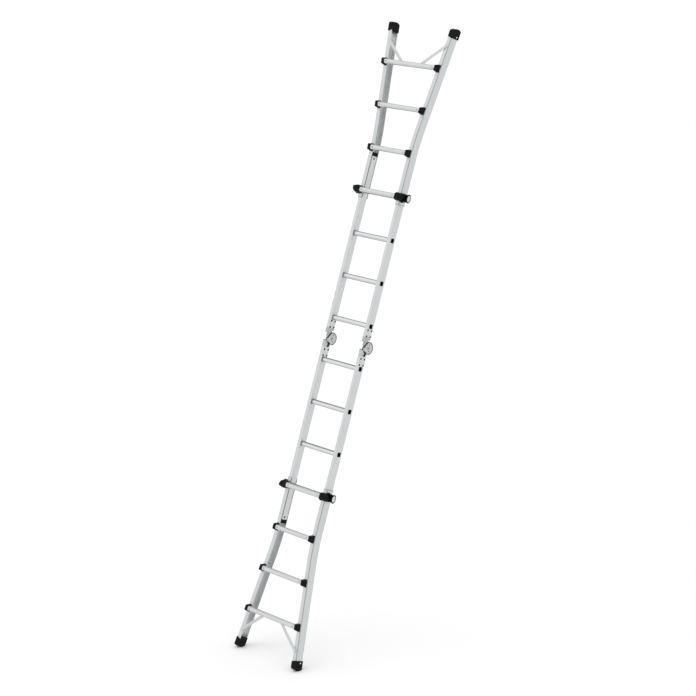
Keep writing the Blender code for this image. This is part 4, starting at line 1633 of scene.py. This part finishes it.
@dataclass
class GuardRibs(Dress):
    """Raised ribs on the sloping edges of the lock housings' guards, on the side towards the hinge.

    Attributes:
        start: Start of the slope, past the web's outer face along X and past the lock's axis along T.
        end: End of the slope, as its start.
        fall: How far the guard's front falls back along the slope.
        bulge: Height of a rib at its highest.
        outline: Shares of the slope's length and of the bulge, once round a rib.
        rounds: Distances behind the guard's front and sizes of the rings, from a rib's front to its back.
    """

    start: Span = (-0.0055, -0.0259)
    end: Span = (0.0350, -0.0020)
    fall: float = 0.0030
    bulge: float = 0.0048
    outline: Outline = (
        (0.03, 0.0),
        (0.18, 0.60),
        (0.38, 0.94),
        (0.62, 1.0),
        (0.84, 0.66),
        (0.985, 0.0),
        (0.88, -0.6),
        (0.12, -0.6),
    )
    rounds: Outline = ((0.0005, 0.90), (0.0016, 1.0), (0.0240, 1.0))

    def rings(self) -> list[Ring]:
        """Rings of a rib in a half's own frame.

        Returns:
            The rings, from the rib's front to its back.
        """
        slope = Vector(self.end) - Vector(self.start)
        out = self.bulge * Vector((slope.y, -slope.x)).normalized()
        points = [Vector(self.start) + share * slope + rise * out for share, rise in self.outline]
        middle = sum(points, Vector((0.0, 0.0))) / len(points)
        rings = []
        for back, scale in self.rounds:
            ring = []
            for (share, _), point in zip(self.outline, points):
                x, t = middle + scale * (point - middle)
                y = STILES.housing_front + self.fall * share + back
                ring.append(Vector((STILES.web_out + x, y, STILES.lock + t)))
            rings.append(ring)
        return rings

    def build(self) -> None:
        """Make the ribs of the four housings."""
        self.mirror("guard_ribs", [self.rings()], self.finishes.plastic, "outer")


@dataclass
class LockKnobDress(Dress):
    """Silver end caps and grip ribs of the oval lock knobs.

    Attributes:
        depth: Width of the knob along Y.
        height: Width of the knob along T.
        start: Inner end of the knob along X.
        length: Length of the knob.
        cap_sides: Sides of the oval cap.
        cap_foot: Distances past the knob's end and sizes as shares of it, where the cap sits in the knob.
        cap_dome: Shares of the cap's rise and sizes as shares of the knob's end, from rim to middle.
        cap_rise: Height of the cap over the knob's end.
        waist: Size of the knob's waist, which carries the ribs, as a share of its end.
        ribs: Grip ribs round the knob.
        rib_radius: Radius of a grip rib.
        rib_start: Distance of the ribs from the knob's inner end.
        rib_length: Length of a grip rib.
    """

    depth: float = 0.039
    height: float = 0.057
    start: float = 0.1998
    length: float = 0.034
    cap_sides: int = 40
    cap_foot: Outline = ((-0.0008, 0.64), (0.0001, 0.66), (0.0001, 0.73))
    cap_dome: Outline = (
        (0.12, 0.74),
        (0.25, 0.73),
        (0.32, 0.70),
        (0.44, 0.62),
        (0.54, 0.54),
        (0.50, 0.52),
        (0.68, 0.40),
        (0.84, 0.30),
        (0.96, 0.16),
        (1.0, 0.05),
    )
    cap_rise: float = 0.0034
    waist: float = 0.865
    ribs: int = 40
    rib_radius: float = 0.0009
    rib_start: float = 0.0025
    rib_length: float = 0.0150

    def cap(self, half: Half, side: Side) -> bpy.types.Object:
        """Make one domed oval cap with a pressed ring.

        Args:
            half: The half.
            side: The side.

        Returns:
            The cap.
        """
        end = self.start + self.length
        profile = [*self.cap_foot, *((share * self.cap_rise, k) for share, k in self.cap_dome)]
        loop = oval(self.depth, self.height, self.cap_sides)
        rings = [[Vector((end + x, y * k, STILES.lock + t * k)) for y, t in loop] for x, k in profile]
        bm = bmesh.new()
        skin(bm, rings, FRAME.turn(half, side))
        return finish_piece(f"{half.label}_knob_cap_{side.label}", bm, self.finishes.cap)

    def tree(self) -> GeometryDesk:
        """Build the tree that rings an oval with grip ribs at each seed point.

        Returns:
            The tree.
        """
        sizes = {
            "Rib Radius": self.rib_radius,
            "Rib Length": self.rib_length,
            "Ribs": self.ribs,
            "Half Depth": self.depth / 2 * self.waist,
            "Half Height": self.height / 2 * self.waist,
        }
        desk = GeometryDesk("knob_grip", sizes)
        radius, length, ribs, half_depth, half_height = desk.wires
        ring = {"Resolution": 64, "Radius": 1.0}
        circle = desk.node("GeometryNodeCurvePrimitiveCircle", {"mode": "RADIUS"}, ring)
        waist = desk.moved(circle, Scale=desk.join(half_height, half_depth, 1.0))
        points = desk.node("GeometryNodeResampleCurve", inputs={"Curve": waist, "Count": ribs})
        desk.close(desk.repeated(desk.rod(8, radius, length), points))
        return desk

    def build(self) -> None:
        """Make the caps and grips of the four knobs."""
        tree = self.tree()
        middle = self.start + self.rib_start + self.rib_length / 2
        for half in Half:
            for side in Side:
                body = f"{half.label}_lock_{side.label}"
                mount(self.cap(half, side), body)
                spot = half_spot(half, side, (middle, 0.0, STILES.lock), (1, 0, 0))
                name = f"{half.label}_knob_grip_{side.label}"
                tree.lay(name, [spot], self.finishes.knob, body, "plastic")


@dataclass
class HingeDress(Dress):
    """Covers on the hinge cheeks, dark rim pieces that paint the cheeks' shadow along their edges, and a dark
    band round the top of the fork's block.

    Angles run about the pivot, from Y towards T. Profiles give shares of the thickness first.

    Attributes:
        face: Distance of a cheek's face from the stile's middle, along X.
        field_height: Distance of a cover's sunk field from the stile's middle, along X.
        radius: Radius of a cheek.
        front_chord: Distance from the pivot to a cheek's straight front edge.
        front_deg: Direction of that edge.
        block_chord: Distance from the pivot to the top of the fork's block.
        block_deg: Direction of that top.
        block_gap: Gap between the dress and that top.
        rise: Thickness of covers and rims.
        cover_sides: Sides of a cover.
        cover_gap: Gap between a cover and its rim.
        cover_edge: Profile of a cover's outer edge, with the distance inwards.
        cover_boss: Profile of its ring round the pivot, with the distance from the eye.
        eye: Radius of the hole for the pin's head.
        rim_steps: Steps along a rim.
        rim_width: Width of the dark rim inside a cheek's edge, which paints the cheek's shadow.
        rim_inset: Distance of the rim from that edge.
        rim_bevels: Bevels of the rim's outer and inner edges.
        rim_from_deg: Where the rim starts.
        rim_to_deg: Where the rim ends.
        band_height: Height of the band on the block.
        band_rise: Thickness of the band.
        band_corner: Corner radius of the block under the band.
        band_section: Shares of the band's thickness and height, once round it.
    """

    face: float = 0.00675
    field_height: float = 0.00759
    radius: float = 0.0430
    front_chord: float = 0.0335
    front_deg: float = 213.0
    block_chord: float = 0.0345
    block_deg: float = 113.9
    block_gap: float = 0.0003
    rise: float = 0.0012
    cover_sides: int = 72
    cover_gap: float = 0.0004
    cover_edge: Outline = ((0.0, 0.0), (0.45, 0.0), (1.0, 0.0012), (1.0, 0.0036), (0.7, 0.0042))
    cover_boss: Outline = ((0.7, 0.0060), (1.0, 0.0050), (1.0, 0.0010), (0.6, 0.0), (0.0, 0.0))
    eye: float = 0.0106
    rim_steps: int = 96
    rim_width: float = 0.0056
    rim_inset: float = 0.0002
    rim_bevels: Span = (0.0008, 0.0005)
    rim_from_deg: float = -185.0
    rim_to_deg: float = 76.0
    band_height: float = 0.0036
    band_rise: float = 0.0006
    band_corner: float = 0.0045
    band_section: Outline = ((0.05, 0.0), (0.7, 0.0), (1.0, 0.12), (1.0, 0.88), (0.7, 1.0), (0.05, 1.0))

    def reach(self, angle: float, inset: float) -> float:
        """Distance from the pivot to a line inside a cheek's edge, or to the block's top.

        Args:
            angle: Direction from the pivot, in radians.
            inset: Distance of the line from the edge.

        Returns:
            The distance.
        """
        far = self.radius - inset
        front = (self.front_chord - inset, self.front_deg)
        block = (self.block_chord - self.block_gap, self.block_deg)
        for chord, turn in (front, block):
            along = math.cos(angle - math.radians(turn))
            if along > 0:
                far = min(far, chord / along)
        return far

    def around(self, angle: float, radius: float, x: float) -> Vector:
        """A point about the pivot."""
        return Vector((x, STILES.pivot_y + radius * math.cos(angle), radius * math.sin(angle)))

    def cover(self, start: float, look: int) -> list[Ring]:
        """Rings of one cover with a bevelled edge, a sunk field and a ring round the pivot.

        Args:
            start: The cheek's face along X.
            look: Which way the face looks along X.

        Returns:
            The rings, of which the last joins the first.
        """
        turns = [2 * math.pi * i / self.cover_sides for i in range(self.cover_sides)]
        gap = self.rim_width + self.cover_gap
        rings = []
        for share, inset in self.cover_edge:
            x = start + look * share * self.rise
            rings.append([self.around(a, self.reach(a, gap) - inset, x) for a in turns])
        for share, growth in self.cover_boss:
            x = start + look * share * self.rise
            rings.append([self.around(a, self.eye + growth, x) for a in turns])
        return rings

    def rim(self, start: float, look: int) -> list[Ring]:
        """Rings of one dark rim that paints the shadow along a cheek's edge, from the block round the back
        and down the front.

        Args:
            start: The cheek's face along X.
            look: Which way the face looks along X.

        Returns:
            The rings.
        """
        inner, outer = self.rim_width, self.rim_inset
        outer_bevel, inner_bevel = self.rim_bevels
        section = (
            (0.0, inner),
            (0.0, outer),
            (0.6, outer),
            (1.0, outer + outer_bevel),
            (1.0, inner - inner_bevel),
            (0.6, inner),
        )
        rings = []
        for i in range(self.rim_steps + 1):
            sweep = (self.rim_to_deg - self.rim_from_deg) * i / self.rim_steps
            angle = math.radians(self.rim_from_deg + sweep)
            ring = []
            for share, inset in section:
                x = start + look * share * self.rise
                ring.append(self.around(angle, self.reach(angle, inset), x))
            rings.append(ring)
        return rings

    def block_top(self, y: float) -> float:
        """Distance from the hinge line of the block's sloping top."""
        slope = math.radians(self.block_deg - 90.0)
        return (self.block_chord + math.sin(slope) * (y - STILES.pivot_y)) / math.cos(slope)

    def band(self) -> list[Ring]:
        """Rings of the band round the block's top.

        Returns:
            The rings, of which the last joins the first.
        """
        block = RoundedOutline(STILES.inner_out - STILES.inner_in, STILES.inner_depth, self.band_corner)
        rings = []
        for grown, share in self.band_section:
            loop = block.points(grown * self.band_rise)
            down = self.block_gap + share * self.band_height
            rings.append([Vector((STILES.inner_middle + x, y, self.block_top(y) + down)) for x, y in loop])
        return rings

    def build(self) -> None:
        """Make the covers, the dark rim pieces that paint shadow, and the bands of both hinges."""
        for side in Side:
            cover, rim = bmesh.new(), bmesh.new()
            turn = FRAME.turn(Half.LOWER, side)
            for look in (1, -1):
                start = STILES.inner_middle + look * (self.face + SEAT_GAP)
                skin(cover, self.cover(start, look), turn, closed=True)
                # Each cheek's dark rim is painted shadow.
                skin(rim, self.rim(start, look), turn)
            skin(rim, self.band(), turn, closed=True)
            trims = (("covers", cover, self.finishes.cover), ("shadow_rims", rim, self.finishes.rim))
            for label, bm, finish in trims:
                piece = finish_piece(f"hinge_{label}_{side.label}", bm, finish)
                mount(piece, "lower_inner")


@dataclass
class SoleBars(Dress):
    """Tread bars across the round soles, clear of the facet that stands on the floor.

    Attributes:
        facet_deg: Angle between two facets of the sole.
        width: Width of a bar round the sole.
        rise: Height of a bar.
        length: Length of a bar across the shoe.
        facets: Facets that carry a bar, counted from the one on the floor.
    """

    facet_deg: float = 12.0
    width: float = 0.0040
    rise: float = 0.0005
    length: float = 0.0330
    facets: tuple[int, ...] = (-4, -3, -2, -1, 1)

    def tree(self) -> GeometryDesk:
        """Build the tree that lays one half-sunk bar at each seed point.

        Returns:
            The tree.
        """
        sizes = {"Bar Length": self.length, "Bar Width": self.width, "Bar Rise": self.rise}
        desk = GeometryDesk("sole_bars", sizes)
        length, width, rise = desk.wires
        bar = desk.node("GeometryNodeMeshCube", inputs={"Size": desk.join(length, width, rise * 2.0)})
        desk.close(bar, smooth=False)
        return desk

    def build(self) -> None:
        """Make the bars of the four shoes."""
        tree = self.tree()
        rows = []
        for facet in self.facets:
            angle = FRAME.lean + facet * math.radians(self.facet_deg)
            y = FRAME.sole_radius * math.sin(angle)
            t = FRAME.sole_centre + FRAME.sole_radius * math.cos(angle)
            rows.append(((STILES.channel_middle(t), y, t), (0.0, math.sin(angle), math.cos(angle))))
        for half in Half:
            spots = both_sides(half, rows)
            tree.lay(f"{half.label}_sole_bars", spots, self.finishes.rubber, f"{half.label}_outer", "shoe")


@dataclass
class Studio:
    """Camera, soft light and a pale floor.

    Attributes:
        camera_place: Where the camera stands.
        camera_turn_deg: Tilt and turn of the camera.
        lens: Focal length in millimetres.
        sensor: Width of the camera's sensor in millimetres.
        sight: Farthest distance that the camera sees.
        sky: Strength of the world's light on the object.
        sun: Strength of the soft key lamp.
        sun_from: Where the lamp hangs, seen from the ladder.
        sun_spread_deg: How wide the lamp looks.
        floor_tone: Colour of the floor.
        floor_mottle: How much paler the floor's clouds are.
        floor_radius: Radius of the round floor.
    """

    camera_place: tuple[float, float, float] = (10.00093, -8.79728, 5.58201)
    camera_turn_deg: tuple[float, float] = (75.168, 46.485)
    lens: float = 115.18
    sensor: float = 36.0
    sight: float = 200.0
    sky: float = 0.92
    sun: float = 0.55
    sun_from: tuple[float, float, float] = (-0.25, -0.75, 1.0)
    sun_spread_deg: float = 50.0
    floor_tone: float = 0.96
    floor_mottle: float = 0.02
    floor_radius: float = 70.0

    def add_camera(self) -> None:
        """Place the camera at the photograph's viewing angle."""
        lens = bpy.data.cameras.new("view")
        lens.lens = self.lens
        lens.sensor_width = self.sensor
        lens.sensor_fit = "HORIZONTAL"
        lens.clip_end = self.sight
        camera = bpy.data.objects.new("view", lens)
        camera.location = self.camera_place
        tilt, turn = (math.radians(angle) for angle in self.camera_turn_deg)
        camera.rotation_euler = (tilt, 0.0, turn)
        bpy.context.scene.collection.objects.link(camera)
        bpy.context.scene.camera = camera

    def add_world(self) -> None:
        """Light the object evenly, and show white to the camera and to reflections."""
        world = bpy.data.worlds.new("studio")
        bpy.context.scene.world = world
        world.use_nodes = True
        world.node_tree.nodes.clear()
        desk = NodeDesk(world.node_tree)
        path = desk.raw("ShaderNodeLightPath")
        seen = Wire(desk, path.outputs["Is Camera Ray"]) + Wire(desk, path.outputs["Is Glossy Ray"])
        seen = (seen + Wire(desk, path.outputs["Is Transmission Ray"])).step(0.0, 1.0)
        strength = self.sky + seen * (1.0 - self.sky)
        light = desk.node("ShaderNodeBackground", inputs={"Color": (1, 1, 1, 1), "Strength": strength})
        desk.raw("ShaderNodeOutputWorld", inputs={"Surface": light})

    def add_sun(self) -> None:
        """Hang one large soft lamp in front of the ladder, high and to its left."""
        data = bpy.data.lights.new("key", "SUN")
        data.energy = self.sun
        data.angle = math.radians(self.sun_spread_deg)
        lamp = bpy.data.objects.new("key", data)
        lamp.rotation_euler = Vector(self.sun_from).to_track_quat("Z", "Y").to_euler()
        bpy.context.scene.collection.objects.link(lamp)

    def add_floor(self) -> None:
        """Lay a pale floor that keeps the ladder's shadow."""
        desk = ShaderDesk("pale_floor")
        clouds = desk.noise(desk.coordinates(), 1.5)
        grey, pale = ((tone, tone, tone) for tone in (self.floor_tone, self.floor_tone + self.floor_mottle))
        colour = desk.mix(clouds, grey, pale)
        material = desk.surface(Base_Color=colour, Roughness=0.9, Specular_IOR_Level=0.0)
        bm = bmesh.new()
        bmesh.ops.create_circle(bm, cap_ends=True, radius=self.floor_radius, segments=64)
        floor = finish_piece("floor", bm, material)

    def build(self) -> None:
        """Set up the studio."""
        bpy.context.scene.view_settings.view_transform = "Standard"
        self.add_camera()
        self.add_world()
        self.add_sun()
        self.add_floor()
        LOG.info("studio is set")


def dress_nodes(nodes: dict[str, bpy.types.Object], finishes: Finishes) -> None:
    """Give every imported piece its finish.

    Args:
        nodes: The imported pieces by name.
        finishes: The ladder's finishes.
    """
    for name, piece in nodes.items():
        material = finishes.for_node(name)
        for slot in piece.material_slots:
            slot.material = material
        LOG.info("%s is dressed in %s", name, material.name)


def main() -> None:
    """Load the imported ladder, dress it, add its small parts and set the studio."""
    logging.basicConfig(level=logging.INFO, format="%(name)s: %(message)s")
    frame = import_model()
    finishes = Finishes()
    dress_nodes(frame["nodes"], finishes)
    kinds = (
        RungRibs,
        RungBushes,
        RungRootShadeRings,
        RivetRows,
        HousingScrews,
        GuardRibs,
        LockKnobDress,
        HingeDress,
        SoleBars,
    )
    for kind in kinds:
        kind(finishes).build()
    Studio().build()


if __name__ == "__main__":
    main()
